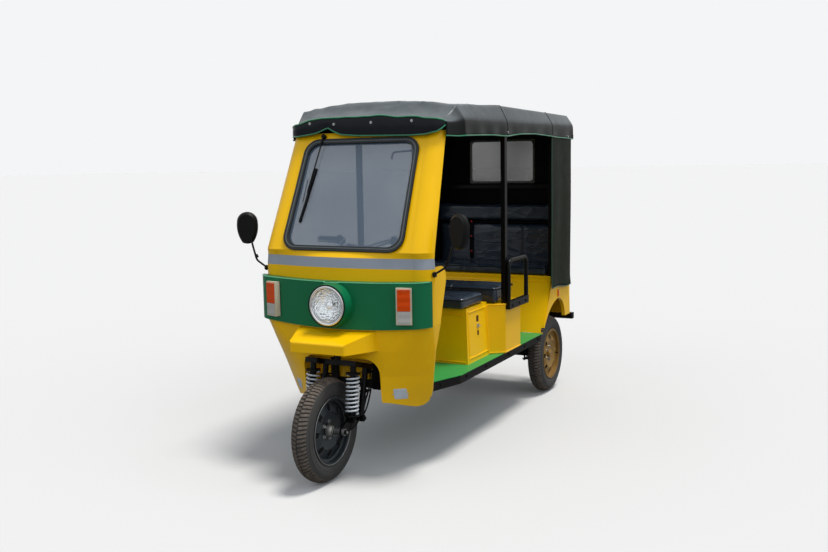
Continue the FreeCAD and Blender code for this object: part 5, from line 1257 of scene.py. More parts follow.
@dataclass
class Fork(Assembly):
    """Small parts of the leading-link fork: cables, brake arm, nuts and clips."""

    rides_on: str = "steering"
    pivot: Pair = (140.0, 285.0)
    cable_r: float = 4.0
    clips: tuple[tuple[float, ...], ...] = (
        (94, 140, 212, 500), (94, 140, 192, 410), (-139, -94, 204, 470))

    def cable(self, points: Sequence[Point]) -> Mesh:
        """Makes a cable in its black cover along points."""
        return tube(curved([put(*p) for p in points], 7), self.cable_r / 1000.0, 8)

    def build(self) -> None:
        """Builds the parts that ride with the fork."""
        cables = [
            self.cable(((116, 207, 523), (124, 213, 506), (130, 210, 486), (132, 194, 425), (122, 172, 362),
                        (116, 158, 318), (110, 100, 262), (92, 62, 240), (84, 40, 236))),
            self.cable(((128, 203, 523), (136, 212, 506), (140, 212, 480), (140, 196, 415), (132, 180, 352),
                        (127, 166, 320), (120, 150, 295))),
            self.cable(((-116, 207, 523), (-124, 212, 506), (-128, 208, 480), (-130, 184, 400),
                        (-131, 168, 330), (-120, 150, 295))),
        ]
        self.keep("fork_cables", joined(cables), RUBBER)
        arm = joined([
            tube([put(80, 36, 236), put(80, 12, 214), put(78, -8, 196)], 0.0055, 8),
            boxes((((74, -16, 186), (82, 4, 204), 2.5), ((72, 28, 226), (90, 44, 244), 3.0)))])
        self.keep("brake_arm", arm, BLACK)
        ties = boxes([((low, y - 32, z - 4), (high, y + 12, z + 4), 3.0) for low, high, y, z in self.clips])
        self.keep("cable_clips", ties, RUBBER)
        y, z = self.pivot
        spots = []
        for side in (-1, 1):
            places = ((131.0, y, z), (109.2, 0.0, TYRE_R), (124.0, 58.0, 292.0))
            spots += [(put(side * out, back, up), LEFT * side) for out, back, up in places]
        self.fasten("pivot_nuts", Head.HEX, 9.0, 9.0, IRON, spots)
        ends = [tube([put(s * 109, 0, TYRE_R), put(s * 121, 0, TYRE_R)], 0.0065, 12) for s in (-1, 1)]
        self.keep("axle_ends", joined(ends), STEEL)


@dataclass
class Handlebar(Assembly):
    """Levers, switches, grip ribs and bolts of the bar."""

    rides_on: str = "steering"
    rise: Point = (126.0, 423.0, 1118.0)
    end: Point = (300.0, 478.0, 1118.0)

    def at(self, side: int, share: float, out: float = 0.0, up: float = 0.0) -> Vector:
        """Gives a point beside the bar's straight part, at a share of its length."""
        x = self.rise[0] + share * (self.end[0] - self.rise[0])
        y = self.rise[1] + share * (self.end[1] - self.rise[1])
        return put(side * x, y - out, self.rise[2] + up)

    def pod(self, side: int) -> Mesh:
        """Makes a switch pod as a short fat sleeve round the bar."""
        near, far = self.at(side, 0.10), self.at(side, 0.27)
        along = far - near
        profile = [(0, 11.0), (0, 18.0), (3.0, 20.5), (16.0, 21.5), (28.0, 20.5), (31.0, 18.0), (31.0, 11.0)]
        sleeve = turned(profile, near, along, 28)
        face = (near + far) / 2.0 + Vector((0.0, -0.006, 0.016))
        plate = block(face - Vector((0.012, 0.009, 0.005)), face + Vector((0.012, 0.009, 0.008)), 0.003)
        return joined([sleeve, plate])

    def build(self) -> None:
        """Builds the controls on both sides."""
        self.keep("switch_pods", joined([self.pod(-1), self.pod(1)]), PLASTIC)
        keys = []
        for side in (-1, 1):
            top = (self.at(side, 0.10) + self.at(side, 0.27)) / 2.0 + Vector((0.0, -0.006, 0.024))
            for low, high in (((-0.008, -0.004, -0.004), (-0.001, 0.004, 0.004)),
                              ((0.002, -0.003, -0.004), (0.009, 0.003, 0.003))):
                keys.append(block(top + Vector(low), top + Vector(high), 0.0015))
        self.keep("switch_keys", joined(keys), RED)
        levers = []
        for side in (-1, 1):
            line = curved([self.at(side, 0.22, 14, -4), self.at(side, 0.38, 38, -6),
                           self.at(side, 0.60, 46, -6), self.at(side, 0.92, 40, -6)], 6)
            levers.append(tube(line, 0.0052, 8))
            levers.append(tube([line[-1] - LEFT * 0.002, line[-1] + LEFT * 0.002], 0.0075, 10))
        self.keep("hand_levers", joined(levers), STEEL)
        ribs = []
        for side in (-1, 1):
            along = self.at(side, 1.0) - self.at(side, 0.0)
            ribs += [turned([(0, 15.0), (0.4, 16.9), (3.2, 16.9), (3.6, 15.0)],
                            self.at(side, 0.42 + 0.04 * k), along, 24)
                     for k in range(14)]
        self.keep("grip_ribs", joined(ribs), RUBBER)
        spots = [(put(s * 11.0, 262.5, 1112.0), UP) for s in (-1, 1)]
        self.fasten("stem_bolts", Head.HEX, 6.0, 6.0, STEEL, spots)


@dataclass
class Headlamp(Assembly):
    """Small parts of the lamp: bulb and its shield, the lens seal and the bezel's screw."""

    z: float = 840.0
    seal_r: float = 99.0

    def build(self) -> None:
        """Builds what shows through the lens."""
        bulb = turned([(0.0, 8.0), (8.0, 9.5), (16.0, 9.0), (22.0, 6.5), (25.0, 2.5), (26.0, 0.2)],
                      put(0.0, 84.0, self.z), -BACK, 20)
        self.keep("lamp_bulb", bulb, CLEAR_LENS)
        shield = turned([(0.0, 16.5), (0.6, 17.5), (10.0, 17.5), (15.0, 13.0), (17.0, 6.0), (17.4, 0.2)],
                        put(0.0, 66.0, self.z), -BACK, 24)
        legs = [tube([put(dx * 0.9, 66.0, self.z + dz * 0.9), put(dx * 2.6, 78.0, self.z + dz * 2.6)],
                     0.0012, 6)
                for dx, dz in ((17.0, 0.0), (-8.5, 14.7), (-8.5, -14.7))]
        self.keep("bulb_shield", joined([shield] + legs), CHROME)
        rim = [put(self.seal_r * math.cos(a), 34.5, self.z + self.seal_r * math.sin(a)) for a in angles(96)]
        self.keep("lamp_seal", tube(rim, 0.0022, 8, True), RUBBER)
        self.fasten("bezel_screw", Head.DOME, 3.0, 1.6, STEEL, [(put(0.0, 30.0, self.z - 91.0), -BACK)])


@dataclass
class Indicators(Assembly):
    """Screws and gaskets of the front indicators."""

    x: float = 372.0
    y: float = 112.0
    z: float = 846.0
    yaw: float = 20.0

    def turned_out(self, side: int, u: float, v: float, out: float) -> Vector:
        """Gives a point on the lamp: across, up and out of its face, in millimetres."""
        a = math.radians(self.yaw) * side
        across = Vector((math.cos(a), math.sin(a), 0.0))
        outwards = Vector((math.sin(a), -math.cos(a), 0.0))
        return put(side * self.x, self.y, self.z) + (across * u + outwards * out + UP * v) / 1000.0

    def build(self) -> None:
        """Builds the seal behind each housing and its lens screws."""
        seals, spots = [], []
        for side in (-1, 1):
            line = [self.turned_out(side, u, v, -31.0)
                    for u, v in rounded((-38.0, -87.0), (38.0, 87.0), 7.0, 5)]
            seals.append(tube(line, 0.003, 6, True))
            aim = self.turned_out(side, 0, 0, 1) - self.turned_out(side, 0, 0, 0)
            spots += [(self.turned_out(side, 0.0, v, 3.0), aim) for v in (-70.0, 70.0)]
        self.keep("indicator_seals", joined(seals), RUBBER)
        self.fasten("indicator_screws", Head.DOME, 3.2, 2.2, STEEL, spots)


@dataclass
class Mirrors(Assembly):
    """Silvered glasses and stalk nuts of the two mirrors."""

    x: float = 596.0
    y: float = 235.0
    z: float = 1187.0
    half_w: float = 45.0
    half_h: float = 74.0
    yaw: float = 20.0
    base: Point = (537.0, 229.0, 1044.0)

    def glass(self, side: int, surface: Surface) -> Mesh:
        """Makes one egg-shaped glass in the recess on the rear of the head."""
        a = math.radians(self.yaw) * side
        across = Vector((math.cos(a), -math.sin(a), 0.0))
        back = Vector((math.sin(a), math.cos(a), 0.0))
        middle = put(side * self.x, self.y, self.z)
        face, _ = surface.hit(middle + back * 0.12, -back)
        centre = middle + back * ((face - middle).dot(back) + 0.0006)
        egg = []
        for a in angles(48):
            wide = self.half_w * math.cos(a) * (1.0 + 0.10 * math.sin(a))
            egg.append(across * wide + UP * (self.half_h * math.sin(a)))
        rows = [[centre + arm * (share / 1000.0) + back * (0.0008 * (1.0 - share * share)) for arm in egg]
                for share in (0.001, 0.4, 0.75, 0.95, 1.0)]
        rows.append([p - back * 0.0016 for p in rows[-1]])
        rows.append([centre - back * 0.0016 + (p - centre) * 0.001 for p in rows[0]])
        return outward(woven(rows, True))

    def build(self, nodes: dict[str, Thing]) -> None:
        """Builds the glasses and the stalks' fittings."""
        surface = Surface(nodes["mirrors"])
        self.keep("mirror_glasses", joined([self.glass(s, surface) for s in (-1, 1)]), MIRROR)
        x, y, z = self.base
        nuts = [turned([(-9, 5.0), (-9, 8.5), (7, 8.5), (9, 5.0)], put(side * x, y, z),
                       Vector((side * 0.5, 0.0, 1.0)), 6)
                for side in (-1, 1)]
        self.keep("mirror_joints", joined(nuts), BLACK, smooth=False)


@dataclass
class Windscreen(Assembly):
    """Trim of the windscreen: filler strip, outer lip, wiper parts and the motor's stay."""

    low: Pair = (167.0, 1087.0)
    high: Pair = (415.0, 1631.0)
    low_half: float = 340.0
    high_half: float = 326.0
    corner: float = 80.0
    wiper: Pair = (-226.0, 610.0)

    def on_glass(self, x: float, up: float, out: float = 0.0) -> Vector:
        """Gives a point by its distance across, up the glass and out of it."""
        dy, dz = self.high[0] - self.low[0], self.high[1] - self.low[1]
        run = math.hypot(dy, dz)
        return put(x, self.low[0] + dy / run * up - dz / run * out,
                   self.low[1] + dz / run * up + dy / run * out)

    def outline(self, inset: float, steps: int = 9) -> list[Pair]:
        """Gives the pane's rounded outline as across and up, set in from the seal's outer edge."""
        run = math.hypot(self.high[0] - self.low[0], self.high[1] - self.low[1])
        corners = [(self.high_half, run), (-self.high_half, run), (-self.low_half, 0.0), (self.low_half, 0.0)]
        radius = self.corner - inset
        out = []
        for n, (cx, cy) in enumerate(corners):
            mx = cx - math.copysign(self.corner, cx)
            my = cy - math.copysign(self.corner, cy - run / 2.0)
            first = n * math.pi / 2.0
            for k in range(steps + 1):
                a = first + math.pi / 2.0 * k / steps
                out.append((mx + radius * math.cos(a), my + radius * math.sin(a)))
        return out

    def build(self) -> None:
        """Builds the trim."""
        strip = [self.on_glass(x, up, 6.2) for x, up in self.outline(15.0)]
        self.keep("seal_filler_strip", tube(strip, 0.0032, 8, True), FILLER)
        lip = [self.on_glass(x, up, 4.5) for x, up in self.outline(1.5)]
        self.keep("seal_outer_lip", tube(lip, 0.0028, 8, True), RUBBER)
        x, up = self.wiper
        nut = turned([(-4, 11), (4, 11), (9, 9), (12, 5.5), (13, 0.3)], self.on_glass(x, up, 10.0),
                     self.on_glass(x, up, 11.0) - self.on_glass(x, up, 10.0), 24)
        cap = joined([nut, tube([self.on_glass(x, up - 6.0, 15.0), self.on_glass(x - 2.0, up - 46.0, 15.0)],
                                0.0055, 8)])
        self.keep("wiper_pivot_cap", cap, BLACK)
        ends = [(self.on_glass(-250 + dx, 372.0, 13.0), self.on_glass(-252 + dx, 250.0, 13.0))
                for dx in (-12.0, 10.0)]
        self.keep("wiper_bridle", joined([tube(pair, 0.0018, 6) for pair in ends]), BLACK)
        stay = tube([put(131, 470, 1526), put(139, 470, 1553), put(146, 469, 1560), put(238, 462, 1565),
                     put(392, 452, 1569)], 0.005, 10)
        self.keep("wiper_motor_stay", stay, PLATE)


@dataclass
class Nose(Assembly):
    """Blank plates, rivets and trim of the front shell."""

    plate_x: float = 290.0
    plate_z: float = 402.0
    plate_half_w: float = 26.0
    plate_half_h: float = 27.0
    lip_drop: tuple[Pair, ...] = (
        (215.0, 10.0), (235.0, 13.0), (262.0, 20.0), (300.0, 33.0), (330.0, 43.0), (344.0, 45.0),
        (365.0, 39.0), (383.0, 24.0), (392.0, 8.0))
    lip_t: float = 3.6
    lip_steps: int = 24
    before: float = -400.0
    band_top: float = 950.0
    band_lift: float = 9.0

    def lower_lip(self, shield: Surface, side: int) -> Mesh:
        """Runs the shell on below its cut edge, in a shallow bow between the arch and the corner."""
        rows = []
        start, end = self.lip_drop[0][0], self.lip_drop[-1][0]
        for k in range(self.lip_steps + 1):
            x = start + (end - start) * k / self.lip_steps
            edge, normal = shield.hit(put(side * x, self.before, 374.0), BACK)
            above, _ = shield.hit(put(side * x, self.before, 404.0), BACK)
            down = (edge - above) / (above.z - edge.z)
            low = edge + down * ((threaded(self.lip_drop, x) + 2.0) / 1000.0)
            inward = Vector((normal.x, normal.y, 0.0)).normalized() * (-self.lip_t / 1000.0)
            skin = normal * 0.0004
            rows.append([edge + skin, (edge + low) / 2.0 + skin, low + skin, low + inward,
                         (edge + low) / 2.0 + inward,
                         edge + inward])
        return outward(capped(woven(rows, True)))

    def build(self, nodes: dict[str, Thing]) -> None:
        """Builds the trim on the shell."""
        shield = Surface(nodes["leg_shield"])
        plates, spots = [], []
        for side in (-1, 1):
            centre = put(side * self.plate_x, self.before, self.plate_z)
            plates.append(laid_on(shield, centre, BACK, UP, self.plate_half_w, self.plate_half_h, 2.0, 6.0))
            for dx in (-0.031, 0.031):
                spot, normal = shield.hit(centre + LEFT * dx, BACK)
                spots.append((spot + normal * 0.002, normal))
        self.keep("blank_plates", joined(plates), PLATE)
        self.fasten("plate_rivets", Head.DOME, 3.0, 1.8, STEEL, spots)
        self.keep("shield_lips", joined([self.lower_lip(shield, s) for s in (-1, 1)]), YELLOW)
        band = Surface(nodes["front_band"])
        middle = put(0.0, 190.0, self.band_top - 10.0)
        line = []
        for k in range(97):
            a = math.pi * k / 96
            out = Vector((math.cos(a), -math.sin(a), 0.0))
            if abs(out.x) < 0.24:
                continue
            spot, normal = band.hit(middle + out * 1.2, -out)
            spot.z = (self.band_top + self.band_lift * (spot.x / 0.496) ** 2 - 2.4) / 1000.0
            line.append(spot + normal * 0.0006)
        # The bead is the band's rolled top edge; its pale green is a painted highlight along the rim
        self.keep("band_top_bead", tube(line, 0.0022, 6), BEAD)


@dataclass
class Canopy(Assembly):
    """Cloth roof with its flaps: one sheet over the bows, a front flap and a rear flap."""

    sections: tuple[tuple[float, ...], ...] = (
        (398.0, 448.0, 1700.0, 40.0, 1708.0, 1730.0), (560.0, 490.0, 1714.0, 46.0, 1786.0, 1820.0),
        (1127.0, 496.0, 1718.0, 46.0, 1810.0, 1830.0), (2318.0, 496.0, 1738.0, 46.0, 1804.0, 1816.0))
    side_hem: tuple[Pair, ...] = (
        (398.0, 1634.0), (490.0, 1633.0), (805.0, 1643.0), (1117.0, 1645.0), (1320.0, 1658.0),
        (1570.0, 1668.0), (1806.0, 1659.0), (2318.0, 1651.0))
    front_hem: tuple[Pair, ...] = (
        (-455.0, 1650.0), (-375.0, 1650.0), (-269.0, 1662.0), (-220.0, 1679.0), (-196.0, 1690.0),
        (-167.0, 1672.0), (-120.0, 1653.0), (-22.0, 1645.0), (263.0, 1639.0), (355.0, 1642.0),
        (413.0, 1654.0), (436.0, 1672.0), (455.0, 1699.0))
    front_top: tuple[Pair, ...] = (
        (-455.0, 1700.0), (-410.0, 1704.0), (-364.0, 1714.0), (-309.0, 1734.0), (-177.0, 1742.0),
        (54.0, 1738.0), (221.0, 1732.0), (404.0, 1716.0), (455.0, 1704.0))
    front: float = 398.0
    rear: float = 2318.0
    rows: int = 168
    seam_rows: tuple[int, ...] = (64, 131)
    lap: float = 162.0
    front_half: float = 455.0
    bows: tuple[float, ...] = (600.0, 1150.0, 1740.0, 2270.0)
    corner_left: float = 46.0
    corner_right: float = 72.0
    corner_x: Pair = (372.0, 78.0)
    corner_reach: float = 170.0
    cloth_t: float = 1.6
    buttons: tuple[Pair, ...] = ((-299.0, 1713.0), (-155.0, 1705.0), (59.0, 1707.0), (284.0, 1708.0))

    def row(self, y: float) -> tuple[float, ...]:
        """Gives half width, shoulder height, step, inner height and crown height at y."""
        return tuple(threaded([(s[0], s[k]) for s in self.sections], y) for k in range(1, 6))

    def pulled_back(self, x: float, y: float) -> float:
        """Moves the front corners back, as cloth rounds them in plan."""
        start, width = self.corner_x
        past = max(abs(x) - start, 0.0) / width
        most = self.corner_right if x < 0.0 else self.corner_left
        return most * past * past * max(0.0, 1.0 - (y - self.front) / self.corner_reach)

    def sag(self, y: float) -> float:
        """Gives how far the cloth hangs between its bows, from 0 to 1."""
        for a, b in zip((self.front,) + self.bows, self.bows + (self.rear,)):
            if a <= y <= b:
                t = (y - a) / (b - a)
                return 4.0 * t * (1.0 - t) if b - a > 300.0 else 0.0
        return 0.0

    def creased(self, x: float, y: float, z: float) -> float:
        """Gives the height of the folds: soft at the back, sharp and slanting over the cab."""
        loose = max(0.0, min(1.0, (1180.0 - y) / 420.0))
        broad = ripple(x * 0.7 + y * 0.5, y, z, 190.0) * (2.0 + 5.0 * loose)
        fold = 1.0 - abs(ripple(x + 0.9 * y, 0.35 * y - 0.2 * x, z + 40.0, 120.0)) * 2.6
        fine = ripple(x * 1.4 - y * 0.8, y * 0.5, z, 55.0) * (0.6 + 1.4 * loose)
        ridge = 1.0 - abs(ripple(x * 0.5 + y * 1.1, y * 0.3 - x * 0.3, z, 75.0)) * 4.0
        return broad + max(fold, 0.0) ** 3 * (1.2 + 5.0 * loose) + fine + max(ridge, 0.0) ** 2 * 9.0 * loose

    def across(self, y: float) -> list[Vector]:
        """Gives the roof's line at y from the right hem to the left hem."""
        half, shoulder, step, inner, crown = self.row(y)
        hem = threaded(self.side_hem, y)
        near = max(0.0, 1.0 - (y - self.front) / self.lap)
        reach = half - step
        line = [(half, hem + (shoulder - hem) * k / 7.0) for k in range(7)]
        line += [(half - step * k / 5.0, shoulder + (inner - shoulder) * k / 5.0) for k in range(5)]
        turns = [math.cos(math.pi * k / 64) for k in range(33)]
        line += [(reach * turn, inner + (crown - inner) * (1.0 - turn ** 2)) for turn in turns]
        drop = self.sag(y)
        out = []
        for x, z in line + [(-x, z) for x, z in reversed(line[:-1])]:
            if near > 0.0 and z > shoulder - 2.0:
                edge = max(-self.front_half, min(self.front_half, x))
                z += (threaded(self.front_top, edge) - z) * near
            centre = max(0.0, 1.0 - (abs(x) / reach) ** 4)
            flank = 1.0 if abs(x) > half - 1.0 else 0.0
            share = flank * min(1.0, max(0.0, (shoulder - z) / (shoulder - hem + 1.0)))
            lift = (self.creased(x, y, z) - 5.0) * (0.25 + 0.75 * centre) * (1.0 - flank)
            swing = 3.0 * math.sin(y / 41.0 + x) + 2.4 * ripple(y, x, 0.0, 130.0) - 1.5
            wave = math.copysign(1.0, x) * share * swing
            hang = share * 3.0 * ripple(y, 3.0 * x, 9.0, 210.0)
            out.append(put(x + wave, y + self.pulled_back(x, y), z - drop * 9.0 * centre + lift + hang))
        return out

    def relaxed(self, rows: list[list[Vector]], rounds: int) -> list[list[Vector]]:
        """Eases the line across each row so that corners are cloth, not sheet metal."""
        for _ in range(rounds):
            rows = [[p if j in (0, len(r) - 1) else (r[j - 1] + p * 2.0 + r[j + 1]) / 4.0
                     for j, p in enumerate(r)] for r in rows]
        return rows

    def flap(self, tops: Sequence[Vector], hems: Sequence[Vector], lean: Vector,
             steps: int = 8) -> list[list[Vector]]:
        """Fills a hanging flap between its top and hem, with folds that grow downwards."""
        rows = []
        for t in (k / steps for k in range(steps + 1)):
            row = []
            for p in (top.lerp(low, t) for top, low in zip(tops, hems)):
                x, y, z = p * 1000.0
                fold = ripple(x * 1.3, y, z * 0.35, 70.0) * 3.6 * t + ripple(x, y, z, 28.0) * 1.1 * t
                row.append(p + lean * ((fold + 4.0 * math.sin(math.pi * t)) / 1000.0))
            rows.append(row)
        return rows

    def build(self) -> None:
        """Builds the roof, its flaps, pipings, seams and buttons."""
        ys = [self.front + (self.rear - self.front) * k / self.rows for k in range(self.rows + 1)]
        rows = self.relaxed([self.across(y) for y in ys], 2)
        roof = self.keep("canopy_roof", outward(woven(rows)), CANOPY, ("canopy_cover",))
        first = next(j for j, p in enumerate(rows[0]) if p.z > 1.699)
        edge = rows[0][first:len(rows[0]) - first]
        hems = []
        for p in edge:
            x = p.x * 1000.0
            back = p.y + 0.002 - 0.0001 * max(0.0, abs(x) - 400.0)
            hems.append(Vector((p.x, back, threaded(self.front_hem, x) / 1000.0)))
        front = self.flap(edge, hems, -BACK)
        flap = self.keep("canopy_front_flap", outward(woven(front)), VALANCE)
        back_edge = [p for p in rows[-1] if p.z > 1.70]
        rear = self.flap(back_edge, [Vector((p.x, p.y + 0.001, 1.651)) for p in back_edge], BACK)
        rear_flap = self.keep("canopy_rear_flap", outward(woven(rear)), CANOPY)
        for sheet in (roof, flap, rear_flap):
            thicken(sheet, self.cloth_t)
        pipes = [tube([p - BACK * 0.0015 for p in front[0]], 0.0038, 7), tube(front[-1], 0.0036, 7),
                 tube(rear[-1], 0.0034, 7), tube([r[0] for r in rows], 0.0036, 7),
                 tube([r[-1] for r in rows], 0.0036, 7)]
        piping = self.keep("canopy_piping", joined(pipes), PIPING)
        seams = [tube([p + UP * 0.0006 for p in rows[k]], 0.0022, 6) for k in self.seam_rows]
        seam = self.keep("canopy_seams", joined(seams), CANOPY)
        face = Surface(flap)
        spots = [(face.hit(put(x, 200.0, z), BACK)[0], -BACK) for x, z in self.buttons]
        spots += [(put(side * 497.5, y, 1664.0), LEFT * side) for y in (1127.0, 2200.0) for side in (1, -1)]
        buttons = self.fasten("canopy_buttons", Head.SNAP, 5.0, 4.0, STEEL, spots)


@dataclass
class Curtains(Assembly):
    """Side and rear curtains that hang from the roof rails."""

    cloth_t: float = 1.6
    side_x: float = 486.0
    front: float = 1912.0
    rear: float = 2308.0
    low: float = 705.0
    top: float = 1672.0
    back_y: float = 2309.0
    back_half: float = 480.0
    back_low: float = 783.0
    back_top: float = 1688.0
    window_half: float = 222.0
    window_low: float = 1377.0
    window_high: float = 1647.0
    window_round: float = 24.0
    round_points: int = 9
    down_steps: int = 48
    along_steps: int = 26
    mesh_step: float = 28.0

    def side(self, side: int) -> list[list[Vector]]:
        """Gives the rows of one side curtain, from its top down."""
        rows = []
        for i in range(self.down_steps + 1):
            t = i / self.down_steps
            row = []
            for j in range(self.along_steps + 1):
                s = j / self.along_steps
                y = self.front + (self.rear - self.front) * s
                hem = self.low + 9.0 * math.sin(s * 5.2 + 0.6) - 4.0 * s
                z = self.top + (hem - self.top) * t
                fold = 3.6 * t * math.sin(s * 9.0 + 1.3 * t) + 2.6 * ripple(y, z * 0.4, side * 50.0, 120.0)
                curl = 5.0 * max(0.0, t - 0.94) / 0.06
                row.append(put(side * (self.side_x + fold * 0.8 + curl), y, z))
            rows.append(row)
        return rows

    def window_line(self, grow: float) -> list[Pair]:
        """Gives the window's rounded outline as x and z, grown outwards."""
        half = self.window_half + grow
        return rounded((-half, self.window_low - grow), (half, self.window_high + grow),
                       self.window_round + grow, self.round_points)

    def back(self) -> Mesh:
        """Makes the rear curtain as a grid round its window, with the window's corners filled round."""
        half, low, high = self.window_half, self.window_low, self.window_high
        xs = spread((-self.back_half, -half, half, self.back_half), self.mesh_step)
        zs = spread((self.back_low, low, high, self.back_top), self.mesh_step)
        points = [self.hung(x, z) for z in zs for x in xs]
        wide = len(xs)
        faces = [(i * wide + j, i * wide + j + 1, (i + 1) * wide + j + 1, (i + 1) * wide + j)
                 for i in range(len(zs) - 1) for j in range(wide - 1)
                 if not (abs(xs[j] + xs[j + 1]) < 2.0 * half and low < (zs[i] + zs[i + 1]) / 2.0 < high)]
        line = self.window_line(0.0)
        many = self.round_points
        for n, (cx, cz) in enumerate(((half, high), (-half, high), (-half, low), (half, low))):
            first = len(points)
            points.append(self.hung(cx, cz))
            points += [self.hung(x, z) for x, z in line[n * many:(n + 1) * many]]
            faces += [(first, first + k, first + k + 1) for k in range(1, many)]
        return outward(built(points, faces))

    def hung(self, x: float, z: float) -> Vector:
        """Gives a point of the rear curtain, with folds that die out at the window."""
        away = max(abs(x) - self.window_half, self.window_low - z, z - self.window_high, 0.0)
        fold = 2.4 * ripple(x, 0.0, z * 0.35, 110.0) + 1.2 * math.sin(x / 60.0)
        return put(x, self.back_y + fold * min(1.0, away / 60.0), z)

    def build(self) -> None:
        """Builds the curtains with their edges and stitches."""
        made, pipes = [], []
        for side, name in ((-1, "right"), (1, "left")):
            rows = self.side(side)
            replaced = ("curtains",) if side > 0 else ()
            # The side curtains' green tint is a painted reflection of grass
            sheet = self.keep(f"{name}_curtain", outward(woven(rows)), CURTAIN, replaced)
            thicken(sheet, self.cloth_t)
            made.append(sheet)
            pipes += [tube([r[0] for r in rows], 0.0035, 7), tube(rows[-1], 0.0028, 7)]
        back = self.keep("rear_curtain", self.back(), LINING)
        thicken(back, self.cloth_t)
        # The curtains' piping takes the darker copy of the green piping: painted shade
        piping = self.keep("curtain_piping", joined(pipes), DARK_PIPING)
        hem = [put(x, self.back_y + 2.2, z) for x, z in self.window_line(9.0)]
        thread = Stitching(7.0, 4.6, 0.7, PIPING).mesh(hem, True)
        stitches = self.keep("window_stitches", thread, PIPING)
        frame = [put(x, self.back_y + 1.2, z) for x, z in self.window_line(1.0)]
        self.keep("window_edge", tube(frame, 0.003, 6, True), LINING)


class Rests(Enum):
    """Ways that a pad is held."""

    FLAT = "on a box, under the sitter"
    UPRIGHT = "against a board, behind the sitter"


@dataclass
class Cushion:
    """One padded seat part in the space that its solid holds. Sizes in millimetres."""

    name: str
    low: Point
    high: Point
    node: str
    rests: Rests = Rests.FLAT
    cap: float = 9.0
    shrink: float = 4.0
    edge: float = 15.0
    voxel: float = 7.0
    channels: tuple[float, ...] = ()
    crease: float = 2.2
    pressure: float = 4.0
    frames: int = 20
    welt_r: float = 3.6
    welt_round: float = 30.0

    def start(self) -> Mesh:
        """Makes the slightly small rounded box that the pad swells from."""
        low = put(*(v + self.shrink for v in self.low))
        high = put(*(v - self.shrink for v in self.high))
        return block(low, high, self.edge / 1000.0, 3)

    def swell(self, mesh: Mesh) -> Mesh:
        """Remeshes the pad and swells it as cloth under pressure, frame by frame.

        Args:
            mesh: The starting shape; it is removed.

        Returns:
            The swollen skin, with no modifier left.
        """
        scene = bpy.context.scene
        pad = bpy.data.objects.new("swelling_pad", mesh)
        scene.collection.objects.link(pad)
        even = pad.modifiers.new("even", "REMESH")
        even.mode = "VOXEL"
        even.voxel_size = self.voxel / 1000.0
        skin = applied(pad)
        pad.data = skin
        bpy.data.meshes.remove(mesh)
        rest = [v.co.copy() for v in skin.vertices]
        cloth = pad.modifiers.new("cloth", "CLOTH")
        cloth.settings.use_pressure = True
        cloth.settings.uniform_pressure_force = self.pressure
        cloth.settings.quality = 4
        cloth.settings.effector_weights.gravity = 0.0
        cloth.point_cache.frame_start = 1
        cloth.point_cache.frame_end = self.frames
        for frame in range(1, self.frames + 1):
            scene.frame_set(frame)
        graph = bpy.context.evaluated_depsgraph_get()
        swollen = pad.evaluated_get(graph).to_mesh()
        for vertex, moved, before in zip(skin.vertices, swollen.vertices, rest):
            step = moved.co - before
            if step.length > self.cap / 1000.0:
                step *= self.cap / 1000.0 / step.length
            vertex.co = before + step
        pad.evaluated_get(graph).to_mesh_clear()
        pad.modifiers.clear()
        scene.frame_set(1)
        bpy.data.objects.remove(pad)
        return skin

    def finish_skin(self, skin: Mesh) -> None:
        """Presses the resting face flat, sews the channels and raises the film's creases."""
        low, high = put(*self.low), put(*self.high)
        middle = (low + high) / 2.0
        skin.update()
        normals = [v.normal.copy() for v in skin.vertices]
        for vertex, n in zip(skin.vertices, normals):
            p = vertex.co
            mm = p * 1000.0
            slant = 1.0 - abs(ripple(mm.x * 0.5 + 0.6 * mm.y, mm.y * 0.8 + mm.z * 1.3, 31.0, 95.0)) * 4.0
            lift = max(slant, 0.0) ** 3 * self.crease + ripple(mm.x * 0.8, mm.y, mm.z, 60.0) * 0.8
            for x in self.channels:
                lift -= 5.0 * math.exp(-((mm.x - x) / 7.0) ** 2)
            p += n * (lift / 1000.0)
            for k in range(3):
                span = (high[k] - low[k]) / 2.0
                past = (p[k] - middle[k]) / span
                if abs(past) > 1.0:
                    p[k] = middle[k] + math.copysign(span + (abs(past) - 1.0) * span * 0.4, past)
            if self.rests is Rests.FLAT:
                p.z = max(p.z, low.z + 0.0004)
            else:
                p.y = min(p.y, high.y - 0.0004)

    def welt(self) -> Mesh:
        """Makes the piped edge round the face that is sat on or leant on."""
        low, high = put(*self.low), put(*self.high)
        radius = self.welt_round / 1000.0
        if self.rests is Rests.FLAT:
            z = high.z - 0.012
            line = [Vector((x, y, z)) for x, y in rounded((low.x, low.y), (high.x, high.y), radius, 7)]
        else:
            y = low.y + 0.010
            line = [Vector((x, y, z)) for x, z in rounded((low.x, low.z), (high.x, high.z), radius, 7)]
        return tube(line, self.welt_r / 1000.0, 7, True)


